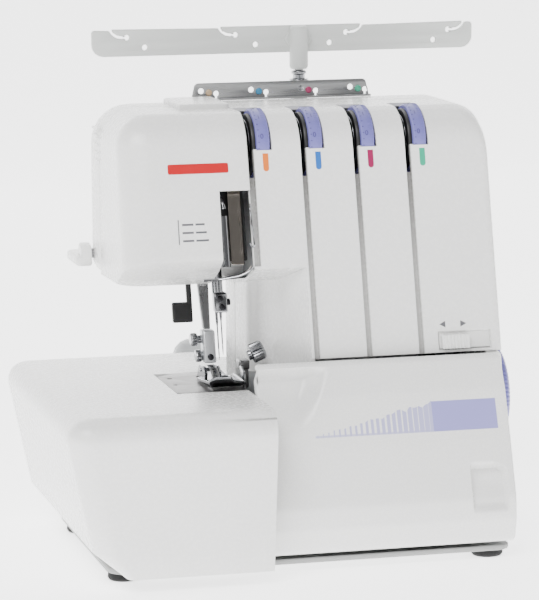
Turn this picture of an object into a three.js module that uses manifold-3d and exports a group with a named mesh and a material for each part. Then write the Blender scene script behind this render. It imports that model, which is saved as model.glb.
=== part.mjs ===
// Overlock sewing machine (serger), millimetres, +Z up.
// The model is laid out about the needle: x = 0 and y = 0 at the needle hole, z = 0 on the table.
// +X points to the handwheel side and -Y to the operator. The last step moves the whole machine so that
// its origin is the middle of its footprint.
import * as THREE from 'three';
import { mergeVertices } from 'three/addons/utils/BufferGeometryUtils.js';
import Module from 'manifold-3d';

const wasm = await Module();
wasm.setup();

// ---- driving dimensions -------------------------------------------------------------------------
const GAP = 0.3;                      // clearance between neighbouring pieces
const WALL = 2.8;                     // wall of the moulded housings
const FOOTPRINT_CENTRE = [34.5, 24];  // middle of the whole machine, seen from the needle

const BED_TOP = 95;                   // sewing surface
const SLANT = 0.25;                   // lean of the needle line and of the front panels, per mm of height

const BODY = { left: 19, right: 153.5, back: 80, split: 48, bottom: 8, top: 247 };
const HEAD = { left: -60, right: 12, bottom: 149 };
const PANEL = { front: -40, bottom: 112 };
const CHANNEL = { first: 12.6, pitch: 30.4, width: 3.4, count: 4 };
const DIAL = { width: 9.7, radius: 20.7, y: 9, z: 227.4 };

const BOX = { left: -109.5, right: 6.5, front: -102, back: 105, bottom: 8, draft: 18 };
const PLATE = { left: -33.7, right: 6.2, front: -33, back: 30, thickness: 1.9 };
const COVER = { left: 7.2, right: 148.5, wall: 2.5 };
const HINGE = { y: -72.5, z: 16, radius: 1.8 };

const SHAFT = { y: 2, z: 80, radius: 4 };
const MOTOR = { y: 36, z: 42, radius: 21 };
const PULLEY = { left: 118, right: 126, driven: 22, driver: 8 };
const WHEEL = { left: 154.3, right: 163, radius: 29 };

const LIFTER = { y: 70, z: 161, radius: 3 };
const SIDE_DIALS = { z: 34, radius: 9, lengthY: -24, differentialY: 0 };
const SWITCH = { y: 18, z: 33, width: 12, height: 18 };

const MAST = { x: 68.5, y: 88, radius: 4, top: 262 };
const BAR = { left: -55, right: 176, bottom: 272.5, top: 288.5, thickness: 3 };
const STAND = { left: -4, right: 146, back: 150, bottom: 76, top: 82 };
const CONE = { first: 11, pitch: 37, y: 128, radius: 12 };

const WHITE = { color: 0xeeeeec, roughness: 0.3 };
const GRAY = { color: 0xc9cbcc, roughness: 0.45 };
const BLACK = { color: 0x17171a, roughness: 0.55 };
const LAVENDER = { color: 0x8f90cf, roughness: 0.4 };
const CHROME = { color: 0xc4c7cb, roughness: 0.15, metalness: 1 };
const STEEL = { color: 0xa6a9ac, roughness: 0.35, metalness: 1 };
const CAST = { color: 0xb4b7b8, roughness: 0.6, metalness: 0.7 };

// ---- solids -------------------------------------------------------------------------------------
const X_AXIS = new THREE.Vector3(1, 0, 0);
const Y_AXIS = new THREE.Vector3(0, 1, 0);
const Z_AXIS = new THREE.Vector3(0, 0, 1);

/** A closed geometry as a manifold solid, ready for joins and cuts. */
function solid(geometry) {
  const bare = geometry.clone();
  bare.deleteAttribute('normal');
  bare.deleteAttribute('uv');
  const merged = mergeVertices(bare, 1e-4);
  return new wasm.Manifold(new wasm.Mesh({
    numProp: 3,
    vertProperties: new Float32Array(merged.attributes.position.array),
    triVerts: new Uint32Array(merged.index.array),
  }));
}

/** Turns local x, y, z onto three world directions. */
function turned(geometry, x, y, z) {
  return geometry.applyMatrix4(new THREE.Matrix4().makeBasis(x, y, z));
}

function box(x0, x1, y0, y1, z0, z1) {
  const geometry = new THREE.BoxGeometry(x1 - x0, y1 - y0, z1 - z0);
  geometry.translate((x0 + x1) / 2, (y0 + y1) / 2, (z0 + z1) / 2);
  return solid(geometry);
}

/** Outline through corner points [u, v, setback]: a setback rounds that corner over its distance. */
function outline(corners) {
  const shape = new THREE.Shape();
  const count = corners.length;
  corners.forEach(([u, v, setback = 0], i) => {
    const corner = new THREE.Vector2(u, v);
    const before = new THREE.Vector2(...corners[(i + count - 1) % count]);
    const after = new THREE.Vector2(...corners[(i + 1) % count]);
    const start = corner.clone().add(before.sub(corner).setLength(setback));
    const end = corner.clone().add(after.sub(corner).setLength(setback));
    if (i === 0) {
      shape.moveTo(start.x, start.y);
    } else {
      shape.lineTo(start.x, start.y);
    }
    if (setback > 0) {
      shape.quadraticCurveTo(u, v, end.x, end.y);
    }
  });
  shape.closePath();
  return shape;
}

function extruded(corners, depth, curveSegments) {
  return new THREE.ExtrudeGeometry(outline(corners), { depth, bevelEnabled: false, curveSegments });
}

/** Prism along X: the outline's points are (y, z). */
function prismX(corners, x0, x1, steps = 4) {
  const geometry = turned(extruded(corners, x1 - x0, steps), Y_AXIS, Z_AXIS, X_AXIS);
  return solid(geometry.translate(x0, 0, 0));
}

/** Prism along Y: the outline's points are (x, z). */
function prismY(corners, y0, y1, steps = 4) {
  const geometry = turned(extruded(corners, y1 - y0, steps), X_AXIS, Z_AXIS, Y_AXIS.clone().negate());
  return solid(geometry.translate(0, y1, 0));
}

/** Prism along Z: the outline's points are (x, y). */
function prismZ(corners, z0, z1, steps = 4) {
  return solid(extruded(corners, z1 - z0, steps).translate(0, 0, z0));
}

/** Solid of revolution about a line along `axis` through `centre`: profile points are (radius, height). */
function turning(profile, axis, centre, segments = 24) {
  const geometry = new THREE.LatheGeometry(profile.map(([r, h]) => new THREE.Vector2(r, h)), segments);
  const turn = new THREE.Quaternion().setFromUnitVectors(Y_AXIS, axis);
  geometry.applyQuaternion(turn).translate(...centre);
  return solid(geometry);
}

function disc(radius, start, end) {
  return [[0, start], [radius, start], [radius, end], [0, end]];
}

/** Round rod along X, Y or Z through the point given by its two other coordinates. */
function rodX(radius, x0, x1, y, z, segments = 16) {
  return turning(disc(radius, x0, x1), X_AXIS, [0, y, z], segments);
}

function rodY(radius, y0, y1, x, z, segments = 16) {
  return turning(disc(radius, y0, y1), Y_AXIS, [x, 0, z], segments);
}

function rodZ(radius, z0, z1, x, y, segments = 16) {
  return turning(disc(radius, z0, z1), Z_AXIS, [x, y, 0], segments);
}

/** The surface of a finished solid as a geometry. */
function surface(shape) {
  const { vertProperties, triVerts } = shape.getMesh();
  const geometry = new THREE.BufferGeometry();
  geometry.setAttribute('position', new THREE.BufferAttribute(vertProperties, 3));
  geometry.setIndex(new THREE.BufferAttribute(triVerts, 1));
  return geometry;
}

/** Moves every point back by the lean of the needle line: y grows by SLANT for each mm above the bed. */
function leaned(shape) {
  const lean = new THREE.Matrix4().set(
    1, 0, 0, 0,
    0, 1, SLANT, -BED_TOP * SLANT,
    0, 0, 1, 0,
    0, 0, 0, 1,
  );
  return solid(surface(shape).applyMatrix4(lean));
}

function joined(...shapes) {
  return shapes.reduce((all, shape) => all.add(shape));
}

function cut(shape, ...tools) {
  return tools.reduce((rest, tool) => rest.subtract(tool), shape);
}

// ---- scene graph --------------------------------------------------------------------------------
const machine = new THREE.Group();
machine.position.set(-FOOTPRINT_CENTRE[0], -FOOTPRINT_CENTRE[1], 0);

function add(name, shape, finish) {
  const mesh = new THREE.Mesh(surface(shape), new THREE.MeshStandardMaterial(finish));
  mesh.name = name;
  machine.add(mesh);
}

// ---- base, feet and frame -----------------------------------------------------------------------
function basePlate() {
  const tray = prismZ([[-82, -76, 12], [147, -76, 8], [147, 79, 8], [-82, 79, 12]], 4.6, 7.6);
  const brackets = [18, 128].map((x) => cut(
    joined(
      box(x, x + 4, -62, -57, 7, 18),
      box(x, x + 4, HINGE.y, -57, 14, 18),
      rodX(3.4, x, x + 4, HINGE.y, HINGE.z),
    ),
    rodX(HINGE.radius + GAP, x - 1, x + 5, HINGE.y, HINGE.z),
  ));
  return joined(tray, ...brackets);
}

function rubberFoot(x, y) {
  return turning([[0, 0], [8, 0], [9, 1], [9, 4.3], [0, 4.3]], Z_AXIS, [x, y, 0], 20);
}

function mainFrame() {
  const shaftHole = rodX(SHAFT.radius + GAP, 20, 146, SHAFT.y, SHAFT.z);
  const castings = joined(
    box(24, 142, -12, 76, 8, 13),
    box(24, 142, 70, 76, 8, 236),
    prismX([
      [21.3, 150], [21.3, 200], [31, 204], [31, 236], [76, 236], [76, 8], [-12, 8], [-12, 91], [21.3, 91],
    ], 24, 30),
    prismX([[14, 100], [14, 200], [31, 204], [31, 236], [76, 236], [76, 8], [-12, 8], [-12, 91]], 136, 142),
    box(-50, 30, 60, 66, 172, 236),
    box(-50, 142, 31, 76, 231, 236),
    box(-16, 6, 20, 62, 186, 192),
    box(-16, 6, 20, 62, 214, 220),
    box(-36, 30, 44, 50, 13, 88),
    box(-36, -31, -26, 50, 40, 91.8),
    box(-36, 6, 24, 50, 86, 91.8),
  );
  return cut(castings, shaftHole, barHole(0, 3.2), barHole(-8.3, 3.2));
}

/** Guide hole along the needle line for a bar at x. */
function barHole(x, radius) {
  return leaned(rodZ(radius + GAP, 160, 226, x, 0));
}

// ---- housings -----------------------------------------------------------------------------------
/** Side outline (y, z) of the upper body: leaning front, rounded brow and nearly flat top. */
function bodyOutline(inset, bottom, back) {
  const front = (z) => PANEL.front + inset + (z - 114) * SLANT;
  const top = BODY.top - inset;
  return [
    [front(bottom), bottom],
    [front(top), top, 20],
    [back, top],
    [back, bottom],
  ];
}

/** Finger room under the first panel: a diagonal wall in plan, under a rising ceiling. */
function throat(grow) {
  const plan = prismZ([
    [0, -70], [44.4 + grow, -70], [44 + grow, -38], [31 + grow, -6, 10], [27 + grow, 18 + grow],
    [BODY.left + grow, 18 + grow], [BODY.left + grow, 90], [0, 90],
  ], 90, 170);
  const ceiling = prismX([
    [-70, 90], [90, 90], [90, 146 + grow], [30, 146 + grow], [-6, 152 + grow, 10],
    [-28, 162 + grow], [-70, 162 + grow],
  ], -2, 60);
  return plan.intersect(ceiling);
}

function channelLeft(i) {
  return CHANNEL.first + CHANNEL.pitch * i;
}

function frontHousing() {
  const shoulder = prismY([
    [0, 90], [0, 260], [60, 260], [60, BODY.top], [BODY.right, BODY.top, 14], [BODY.right, 90],
  ], -60, 60, 5);
  const block = prismX(bodyOutline(0, PANEL.bottom, BODY.split), HEAD.right + GAP, BODY.right, 5);
  const outer = block.intersect(shoulder);
  const room = bodyOutline(WALL + 1, PANEL.bottom - 5, BODY.split + 5);
  const inner = prismX(room, HEAD.right + 4, BODY.right - WALL, 5);
  const hollow = cut(inner, throat(WALL));
  let shell = cut(outer, hollow, throat(0));
  shell = cut(shell, box(10, 20, 22, 60, 168, 242));
  for (let i = 0; i < CHANNEL.count; i += 1) {
    const left = channelLeft(i);
    const groove = prismX([
      [-60, 100], [PANEL.front + 1.7 - 14 * SLANT, 100], [-5.5, 236.8], [-60, 236.8],
    ], left, left + CHANNEL.width);
    const mouth = box(left, left + CHANNEL.width, -40, 30, 214, 260);
    const window = box(left + CHANNEL.width - 1, left + 14, -40, 32, DIAL.z, 260);
    const dialRoom = rodX(DIAL.radius + 0.5, left - 3, left + 14, DIAL.y, DIAL.z, 40);
    shell = cut(shell, groove, mouth, window, dialRoom);
  }
  const selectorWindow = box(116, 146, -60, -30, 113.6, 122.4);
  return cut(shell, selectorWindow);
}

function rearHousing() {
  const upper = prismY([
    [HEAD.left, HEAD.bottom], [HEAD.left, BODY.top, 22], [BODY.right, BODY.top, 14],
    [BODY.right, BODY.bottom], [BODY.left, BODY.bottom], [BODY.left, 146], [-20, 146, 8],
    [-30, HEAD.bottom],
  ], BODY.split + GAP, BODY.back, 5);
  const room = prismY([
    [HEAD.left + WALL, HEAD.bottom + WALL], [HEAD.left + WALL, BODY.top - WALL, 20],
    [BODY.right - WALL, BODY.top - WALL, 12], [BODY.right - WALL, BODY.bottom - 5],
    [BODY.left + WALL, BODY.bottom - 5], [BODY.left + WALL, 146 + WALL], [-20, 146 + WALL, 8],
    [-30, HEAD.bottom + WALL],
  ], BODY.split - 5, BODY.back - WALL, 5);
  const armWindow = box(BODY.left - 5, 22, 40, 52, 8, 92);
  const inletHole = box(BODY.right - 5, 160, 56 - GAP, 76 + GAP, 30 - GAP, 46 + GAP);
  const lifterHole = rodX(LIFTER.radius + GAP, -70, -50, LIFTER.y, LIFTER.z);
  return cut(upper, room, armWindow, inletHole, lifterHole);
}

function sideCover() {
  const back = BODY.split - 0.1;
  const side = [[-44, 8.2], [-44, 90, 6], [-38, 111.6], [back, 111.6], [back, 8.2]];
  const outer = prismX(side, 143.5, BODY.right);
  const inner = prismX([[-41, 5], [-41, 90, 6], [-35, 109], [60, 109], [60, 5]], 140, BODY.right - WALL);
  const shaftHole = rodX(6, 140, 160, SHAFT.y, SHAFT.z);
  const dialHoles = [SIDE_DIALS.lengthY, SIDE_DIALS.differentialY].map((y) => (
    rodX(SIDE_DIALS.radius + GAP, 140, 160, y, SIDE_DIALS.z, 24)
  ));
  const { y, z, width, height } = SWITCH;
  const switchHole = box(148, 160, y - GAP, y + width + GAP, z - height / 2 - 1, z + height / 2 + 1);
  return cut(outer, inner, shaftHole, ...dialHoles, switchHole);
}

/** The head: deep rounded edges at the left and top, a needle-bar window at the right. */
function faceCover() {
  const rounded = (inset, past) => {
    const left = HEAD.left + inset;
    const right = HEAD.right + past;
    const back = BODY.split + past;
    const bottom = HEAD.bottom + inset;
    const top = BODY.top - inset;
    const side = prismX([
      [-27.5 + inset, 165], [-11.5 + inset, 229], [-7.5 + inset, top, 14], [back, top], [back, bottom],
      [8, bottom], [-16, 157 + inset],
    ], left, right, 5);
    const front = prismY([[left, 130], [left, top, 26], [right, top], [right, 130]], -40, 60, 6);
    const plan = prismZ([
      [left, 60], [left, -14, 12], [-46, -34, 10], [right, -34], [right, 60],
    ], 130, 250, 5);
    return side.intersect(front).intersect(plan);
  };
  const outer = rounded(0, 0);
  const hollow = rounded(WALL, 5);
  const needleWindow = box(-6, 20, -45, 2, 140, 205.5);
  const barSlot = prismX([[-45, 140], [-45, 158], [40, 158], [40, 140]], -27.5, 20);
  return cut(outer, hollow, needleWindow, barSlot);
}

function pressureCap() {
  return prismZ([[-18, 24, 3], [11, 24, 3], [11, 69.6, 3], [-18, 69.6, 3]], BODY.top + GAP, BODY.top + 3);
}

/** Front door over the loopers: a leaning sheet that curls under at the bottom. */
function looperCover() {
  const outer = [
    [-46, 111.5], [-50, 110.5, 3], [-59, 94, 10], [-70, 66, 10], [-80.5, 36, 5], [-81.5, 24, 6],
    [-78.5, 11, 2], [-76, 9.6],
  ];
  const inner = [
    [-75.2, 11.6], [-76.8, 13, 1], [-79, 24, 5], [-78, 36, 5], [-67.6, 65, 10], [-56.6, 93, 10],
    [-48.6, 108, 1], [-46, 109],
  ];
  const sheet = prismX([...outer, ...inner], COVER.left, COVER.right, 4);
  const endWall = (x) => prismX([...outer, [-52, 9.6], [-46, 60]], x, x + COVER.wall, 4);
  const lugs = [34, 108].map((x) => cut(
    joined(box(x, x + 6, -78.2, HINGE.y, 13.2, 18.8), rodX(3.4, x, x + 6, HINGE.y, HINGE.z)),
    rodX(HINGE.radius + GAP, x - 1, x + 7, HINGE.y, HINGE.z),
  ));
  const fingerPocket = prismY([[123, 29, 4], [123, 54, 4], [144, 54, 10], [144, 29, 4]], -100, -79.2);
  const foldBelowPivot = box(COVER.left - 1, COVER.right + 1, -70, -40, 0, 22);
  const ends = cut(joined(endWall(COVER.left), endWall(COVER.right - COVER.wall)), foldBelowPivot);
  return cut(joined(sheet, ends, ...lugs), fingerPocket);
}

/** Big removable box at the left: open below and towards the machine, with a bay for the needle plate. */
function clothPlateCover() {
  const draft = BOX.draft / (BED_TOP - BOX.bottom);
  const body = (inset, bottom) => {
    const leftAt = (z) => BOX.left + inset + (BED_TOP - z) * draft;
    const across = prismY([
      [leftAt(bottom), bottom, 4], [leftAt(BED_TOP - inset), BED_TOP - inset, 14],
      [BOX.right + (inset ? 20 : 0), BED_TOP - inset], [BOX.right + (inset ? 20 : 0), bottom],
    ], BOX.front - 5, BOX.back + 5, 6);
    const along = prismX([
      [BOX.front + inset, bottom, 4], [BOX.front + inset, BED_TOP - inset, 13],
      [BOX.back - inset, BED_TOP - inset, 8], [BOX.back - inset, bottom, 8],
    ], -120, 40, 6);
    const seen = prismZ([
      [-130, BOX.front + inset], [BOX.right + 40, BOX.front + inset], [BOX.right + 40, BOX.back - inset],
      [-130, BOX.back - inset],
    ], 0, 120);
    return across.intersect(along).intersect(seen);
  };
  const frontRightWall = prismX([
    [BOX.front + 1, BOX.bottom, 4], [BOX.front + 1, BED_TOP - 1, 13], [-86, BED_TOP - 1], [-86, BOX.bottom],
  ], BOX.right - WALL, BOX.right, 6);
  const bay = box(PLATE.left - GAP, 20, PLATE.front - GAP, PLATE.back + GAP, 80, 110);
  return cut(cut(body(0, BOX.bottom), body(WALL, BOX.bottom - 8)).add(frontRightWall), bay);
}

// ---- stitching parts ----------------------------------------------------------------------------
function needlePlate() {
  const plate = prismZ([
    [PLATE.left, PLATE.front, 4], [PLATE.right, PLATE.front], [PLATE.right, PLATE.back],
    [PLATE.left, PLATE.back, 8],
  ], BED_TOP - PLATE.thickness, BED_TOP);
  const needleSlot = box(-4, 3.5, -6, 3, 90, 100);
  const feedSlots = [-12, -8].map((x) => box(x, x + 2.6, -10, 18, 90, 100));
  return cut(plate, needleSlot, ...feedSlots);
}

/** Two rows of teeth on one carrier below the plate. */
function feedDog() {
  const rows = [-11.6, -7.6].map((x) => box(x, x + 1.8, -7, 14, 85, 94.2));
  return joined(box(-12.4, -5, -7, 14, 82.6, 86), ...rows);
}

function needle(x, tip) {
  const point = [[0, tip], [0.45, tip + 4], [0.45, tip + 20], [0.8, tip + 22], [0.8, 132.6], [0, 132.6]];
  return leaned(turning(point, Z_AXIS, [x, 0, 0], 10));
}

function needleBar() {
  return leaned(rodZ(3.2, 144.4, 230, 0, 0));
}

function needleClamp() {
  return leaned(prismZ([[-3.2, -4.4, 1], [4.6, -4.4, 1], [4.6, 4.4, 3], [-3.2, 4.4, 3]], 133, 144));
}

function clampScrew(x, z) {
  return leaned(rodY(1.5, -6.4, -4.4 - GAP, x, z, 12));
}

function presserBar() {
  return leaned(joined(
    rodZ(3.2, 150, 226, -8.3, 0),
    box(-11.2, -5.4, -2, 2, 124, 151),
    box(-13.5, -6, -2, 3, 196, 200),
  ));
}

function footHolder() {
  return leaned(joined(
    prismZ([[-11.2, -4, 1], [-4, -4, 1], [-4, 4, 1], [-11.2, 4, 1]], 103.4, 123.6),
    rodX(3.3, -15.4, -11, 0, 109.5, 14),
  ));
}

function footThumbScrew() {
  return leaned(turning(
    [[0, -17.4], [2.6, -17.4], [3.4, -16.6], [3.4, -14.6], [2.2, -14], [2.2, -11.5], [0, -11.5]],
    X_AXIS, [0, 0, 118.4], 14,
  ));
}

function presserFoot() {
  const side = prismX([
    [-31, 97, 2], [-33, 101, 2], [-28, 101.5, 2], [-14, 99, 4], [-4, 103], [7, 103], [16, 98, 1], [14, 95.5],
    [-27, 95.5, 2],
  ], -15, 7.4);
  const plan = prismZ([
    [-15, -34, 3], [7.4, -34, 3], [7.4, -1, 3], [3, 3], [3, 17], [-12, 17], [-12, 3], [-15, -1, 3],
  ], 90, 110);
  const needleHole = box(-3.4, 3.4, -7, 4.4, 90, 110);
  return cut(side.intersect(plan), needleHole);
}

function upperKnife() {
  const blade = box(8.6, 10, -14, -1, 91, 103);
  const arm = box(8.6, 15, -3, 5, 101, 106.5);
  const post = box(12, 15, 0, 5, 90, 106.5);
  return joined(blade, arm, post);
}

function knifeKnob() {
  const tilt = THREE.MathUtils.degToRad(22);
  const axis = new THREE.Vector3(Math.cos(tilt), 0, Math.sin(tilt));
  const profile = [[0, 15.4], [3, 15.4], [3, 17], [5.6, 17.6], [5.6, 24], [4.6, 25], [0, 25]];
  return turning(profile, axis, [0.6, 1.5, 102.5], 16);
}

function upperLooper() {
  return joined(box(8, 10.4, 9, 12, 66, 91), box(8, 22, 9, 12, 62, 68));
}

function lowerLooper() {
  return joined(box(-2, 6, 5, 7.6, 77, 80), box(4, 7, 5, 7.6, 58, 80), box(4, 20, 5, 7.6, 54, 60));
}

function needleThreader() {
  return leaned(joined(
    box(-17, -14, 4.6, 7, 136, 175),
    prismZ([[-25.6, 4.6, 1], [-14, 4.6, 1], [-14, 8, 1], [-25.6, 8, 1]], 127, 138.2),
  ));
}

function presserLifter() {
  const paddle = prismZ([[-71, 64, 4], [-71, 98, 5], [-61.6, 98, 4], [-61.6, 64, 4]], 154, 160);
  const boss = prismX([[64, 157], [66, 166], [74, 168], [78, 158]], -68, -61.6);
  return joined(paddle, boss, rodX(LIFTER.radius, -62, -54, LIFTER.y, LIFTER.z));
}

/** Polished guard in the window: a half-round cover beside a flat plate. */
function needleBarGuard() {
  const curved = leaned(prismZ([
    [-5.4, -40, 2], [0.6, -40, 2], [1.2, -36], [9.6, -36], [9.6, -34.6], [0.2, -34.6],
    [-0.6, -38.4], [-4.2, -38.4], [-4.2, -34.6], [-5.4, -34.6],
  ], 163, 192));
  const plate = leaned(box(1.4, 9.6, -36, -34.6, 190, 204.6));
  return joined(curved, plate);
}

/** Wire hook that steers the thread past the panel edge. */
function wireThreadGuide() {
  const bends = [
    [11.4, -22, 198], [10.9, -26, 194], [11.2, -26, 188], [11.4, -30.5, 178], [11.4, -30.5, 175],
    [10.6, -28, 175],
  ];
  const path = new THREE.CatmullRomCurve3(bends.map((point) => new THREE.Vector3(...point)));
  const section = outline([[-0.55, -0.55], [0.55, -0.55], [0.55, 0.55], [-0.55, 0.55]]);
  return solid(new THREE.ExtrudeGeometry(section, { steps: 14, extrudePath: path, bevelEnabled: false }));
}

// ---- drive --------------------------------------------------------------------------------------
function handwheel() {
  return turning([
    [0, WHEEL.left], [24, WHEEL.left], [WHEEL.radius, WHEEL.left + 1.5], [WHEEL.radius, WHEEL.right - 2],
    [WHEEL.radius - 3, WHEEL.right], [14, WHEEL.right], [12, WHEEL.right - 2], [0, WHEEL.right - 2],
  ], X_AXIS, [0, SHAFT.y, SHAFT.z], 40);
}

function mainShaft() {
  return rodX(SHAFT.radius, 22.6, WHEEL.left - GAP, SHAFT.y, SHAFT.z);
}

function drivenPulley() {
  const wheel = rodX(PULLEY.driven, PULLEY.left, PULLEY.right, SHAFT.y, SHAFT.z, 32);
  return cut(wheel, rodX(SHAFT.radius + 0.05, PULLEY.left - 1, PULLEY.right + 1, SHAFT.y, SHAFT.z));
}

function motor() {
  return joined(
    rodX(MOTOR.radius, 52, 112, MOTOR.y, MOTOR.z, 28),
    box(58, 106, MOTOR.y - 14, MOTOR.y + 14, 13.4, 24),
  );
}

function motorPulley() {
  return joined(
    rodX(PULLEY.driver, PULLEY.left, PULLEY.right, MOTOR.y, MOTOR.z, 20),
    rodX(3, 112 + GAP, PULLEY.left + 1, MOTOR.y, MOTOR.z),
  );
}

/** Band round both pulleys: two arcs joined by the straight runs that touch them both. */
function driveBelt() {
  const span = new THREE.Vector2(MOTOR.y - SHAFT.y, MOTOR.z - SHAFT.z);
  const along = span.angle();
  const touch = Math.acos((PULLEY.driven - PULLEY.driver) / span.length());
  const band = (clear, x0, x1) => {
    const loop = new THREE.Shape();
    loop.absarc(SHAFT.y, SHAFT.z, PULLEY.driven + clear, along + touch, along - touch + 2 * Math.PI);
    loop.absarc(MOTOR.y, MOTOR.z, PULLEY.driver + clear, along - touch, along + touch);
    loop.closePath();
    const options = { depth: x1 - x0, bevelEnabled: false, curveSegments: 24 };
    const geometry = turned(new THREE.ExtrudeGeometry(loop, options), Y_AXIS, Z_AXIS, X_AXIS);
    return solid(geometry.translate(x0, 0, 0));
  };
  return cut(band(2.2, PULLEY.left + 1, PULLEY.right - 1), band(0.35, PULLEY.left, PULLEY.right));
}

// ---- controls -----------------------------------------------------------------------------------
function tensionDial(i) {
  const left = channelLeft(i) + CHANNEL.width + 0.2;
  return turning([
    [0, left - 2.6], [15, left - 2.6], [15, left], [DIAL.radius - 1, left], [DIAL.radius, left + 1],
    [DIAL.radius, left + DIAL.width - 1], [DIAL.radius - 1, left + DIAL.width], [0, left + DIAL.width],
  ], X_AXIS, [0, DIAL.y, DIAL.z], 40);
}

function stitchSelector() {
  return prismY([[116.8, 114, 1], [133, 114, 1], [133, 122, 1], [116.8, 122, 1]], -42.4, -36.2);
}

function sideDial(y) {
  const { z, radius } = SIDE_DIALS;
  return turning(
    [[0, 146], [radius, 146], [radius, 156.5], [radius - 1.5, 158], [0, 158]], X_AXIS, [0, y, z], 24,
  );
}

function powerSwitch() {
  const { y, z, width, height } = SWITCH;
  return box(149, 155.4, y, y + width, z - height / 2, z + height / 2);
}

function powerInlet() {
  const body = box(143, BODY.right + 1.6, 56, 76, 30, 46);
  return cut(body, box(145.5, 160, 58.4, 73.6, 32.4, 43.6));
}

// ---- threading ----------------------------------------------------------------------------------
/** Folded steel strip on the top with a keyhole and a round eye for each thread. */
function threadGuidePlate() {
  const upright = prismY([[0, 247.3], [2.4, 257, 3], [105.2, 257, 3], [107.6, 247.3]], 74, 75.4);
  const eyes = [0, 1, 2, 3].map((i) => rodY(1.7, 70, 80, 6 + i * 30, 252.6, 12));
  const keyholes = [0, 1, 2, 3].map((i) => joined(
    rodY(1.6, 70, 80, 15 + i * 30, 250.6, 12),
    box(14.4 + i * 30, 15.6 + i * 30, 70, 80, 248.6, 250.6),
  ));
  return cut(upright.add(box(0, 107.6, 70, 75, 247.3, 248.5)), ...eyes, ...keyholes);
}

function mastLowerTube() {
  const tube = turning([
    [0, STAND.top + GAP], [6, STAND.top + GAP], [6, STAND.top + 10], [MAST.radius + 1, STAND.top + 12],
    [MAST.radius + 1, 252], [MAST.radius + 1.6, 253], [MAST.radius + 1.6, 257], [0, 257],
  ], Z_AXIS, [MAST.x, MAST.y, 0], 20);
  return cut(tube, rodZ(MAST.radius, 150, 260, MAST.x, MAST.y));
}

function mastMiddleTube() {
  const tube = turning([
    [0, 154], [MAST.radius - GAP, 154], [MAST.radius - GAP, 260], [MAST.radius + 0.6, 260.4],
    [MAST.radius + 0.6, MAST.top], [0, MAST.top],
  ], Z_AXIS, [MAST.x, MAST.y, 0], 20);
  return cut(tube, rodZ(2.8, 158, 270, MAST.x, MAST.y));
}

/** Cross bar with four thread eyes, each reached by a slot that opens at the top edge. */
function threadGuideBar() {
  const y0 = MAST.y + 2;
  const plate = prismY([
    [BAR.left, BAR.bottom, 9], [BAR.left, BAR.top, 2], [BAR.right, BAR.top, 2], [BAR.right, BAR.bottom, 9],
  ], y0, y0 + BAR.thickness);
  const hub = rodZ(5.6, MAST.top + GAP, BAR.top, MAST.x, MAST.y, 20);
  const stem = rodZ(2.5, 162, MAST.top + 2, MAST.x, MAST.y);
  const eyes = [[-44, 1], [21, 1], [108, -1], [171, -1]].map(([x, side]) => joined(
    rodY(1.9, y0 - 5, y0 + 9, x + side * 9, 283, 14),
    box(x + Math.min(0, side * 9), x + Math.max(0, side * 9), y0 - 5, y0 + 9, 282.3, 283.7),
    box(x - 0.7, x + 0.7, y0 - 5, y0 + 9, 282.3, 292),
  ));
  return cut(joined(plate, hub, stem), ...eyes);
}

function spoolStand() {
  const deck = prismZ([
    [7.4, BODY.back + GAP], [STAND.right, BODY.back + GAP, 2], [STAND.right, STAND.back, 14],
    [STAND.left, STAND.back, 14], [STAND.left, BOX.back + 1.5, 4], [7.4, BOX.back + 1.5],
  ], STAND.bottom, STAND.top);
  const hollow = prismZ([
    [10.4, BODY.back + 4], [STAND.right - 3, BODY.back + 4, 2], [STAND.right - 3, STAND.back - 3, 12],
    [STAND.left + 3, STAND.back - 3, 12], [STAND.left + 3, BOX.back + 4.5, 2], [10.4, BOX.back + 4.5],
  ], STAND.bottom - 1, STAND.top - 2.6);
  const pins = [0, 1, 2, 3].map((i) => rodZ(3, STAND.top - 1, 95, CONE.first + i * CONE.pitch, CONE.y, 12));
  return joined(cut(deck, hollow), ...pins);
}

function coneHolder(i) {
  const x = CONE.first + i * CONE.pitch;
  const cap = turning([
    [0, STAND.top + GAP], [CONE.radius, STAND.top + GAP], [CONE.radius, 88], [10.4, 92.5], [7.6, 95.6],
    [4.2, 97.2], [0, 97.6],
  ], Z_AXIS, [x, CONE.y, 0], 24);
  return cut(cap, rodZ(3 + GAP, STAND.top - 2, 95 + GAP, x, CONE.y, 12));
}

// ---- assembly -----------------------------------------------------------------------------------
add('base_plate', basePlate(), GRAY);
[[-72, -64], [136, -64], [136, 66], [-72, 56]].forEach(([x, y], i) => {
  add(`rubber_foot_${i + 1}`, rubberFoot(x, y), BLACK);
});
add('main_frame', mainFrame(), CAST);
add('front_housing', frontHousing(), WHITE);
add('rear_housing', rearHousing(), WHITE);
add('side_cover', sideCover(), WHITE);
add('face_cover', faceCover(), WHITE);
add('pressure_cap', pressureCap(), WHITE);
add('looper_cover', looperCover(), WHITE);
add('cover_hinge_rod', rodX(HINGE.radius, 10, 140, HINGE.y, HINGE.z), STEEL);
add('cloth_plate_cover', clothPlateCover(), WHITE);

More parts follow.
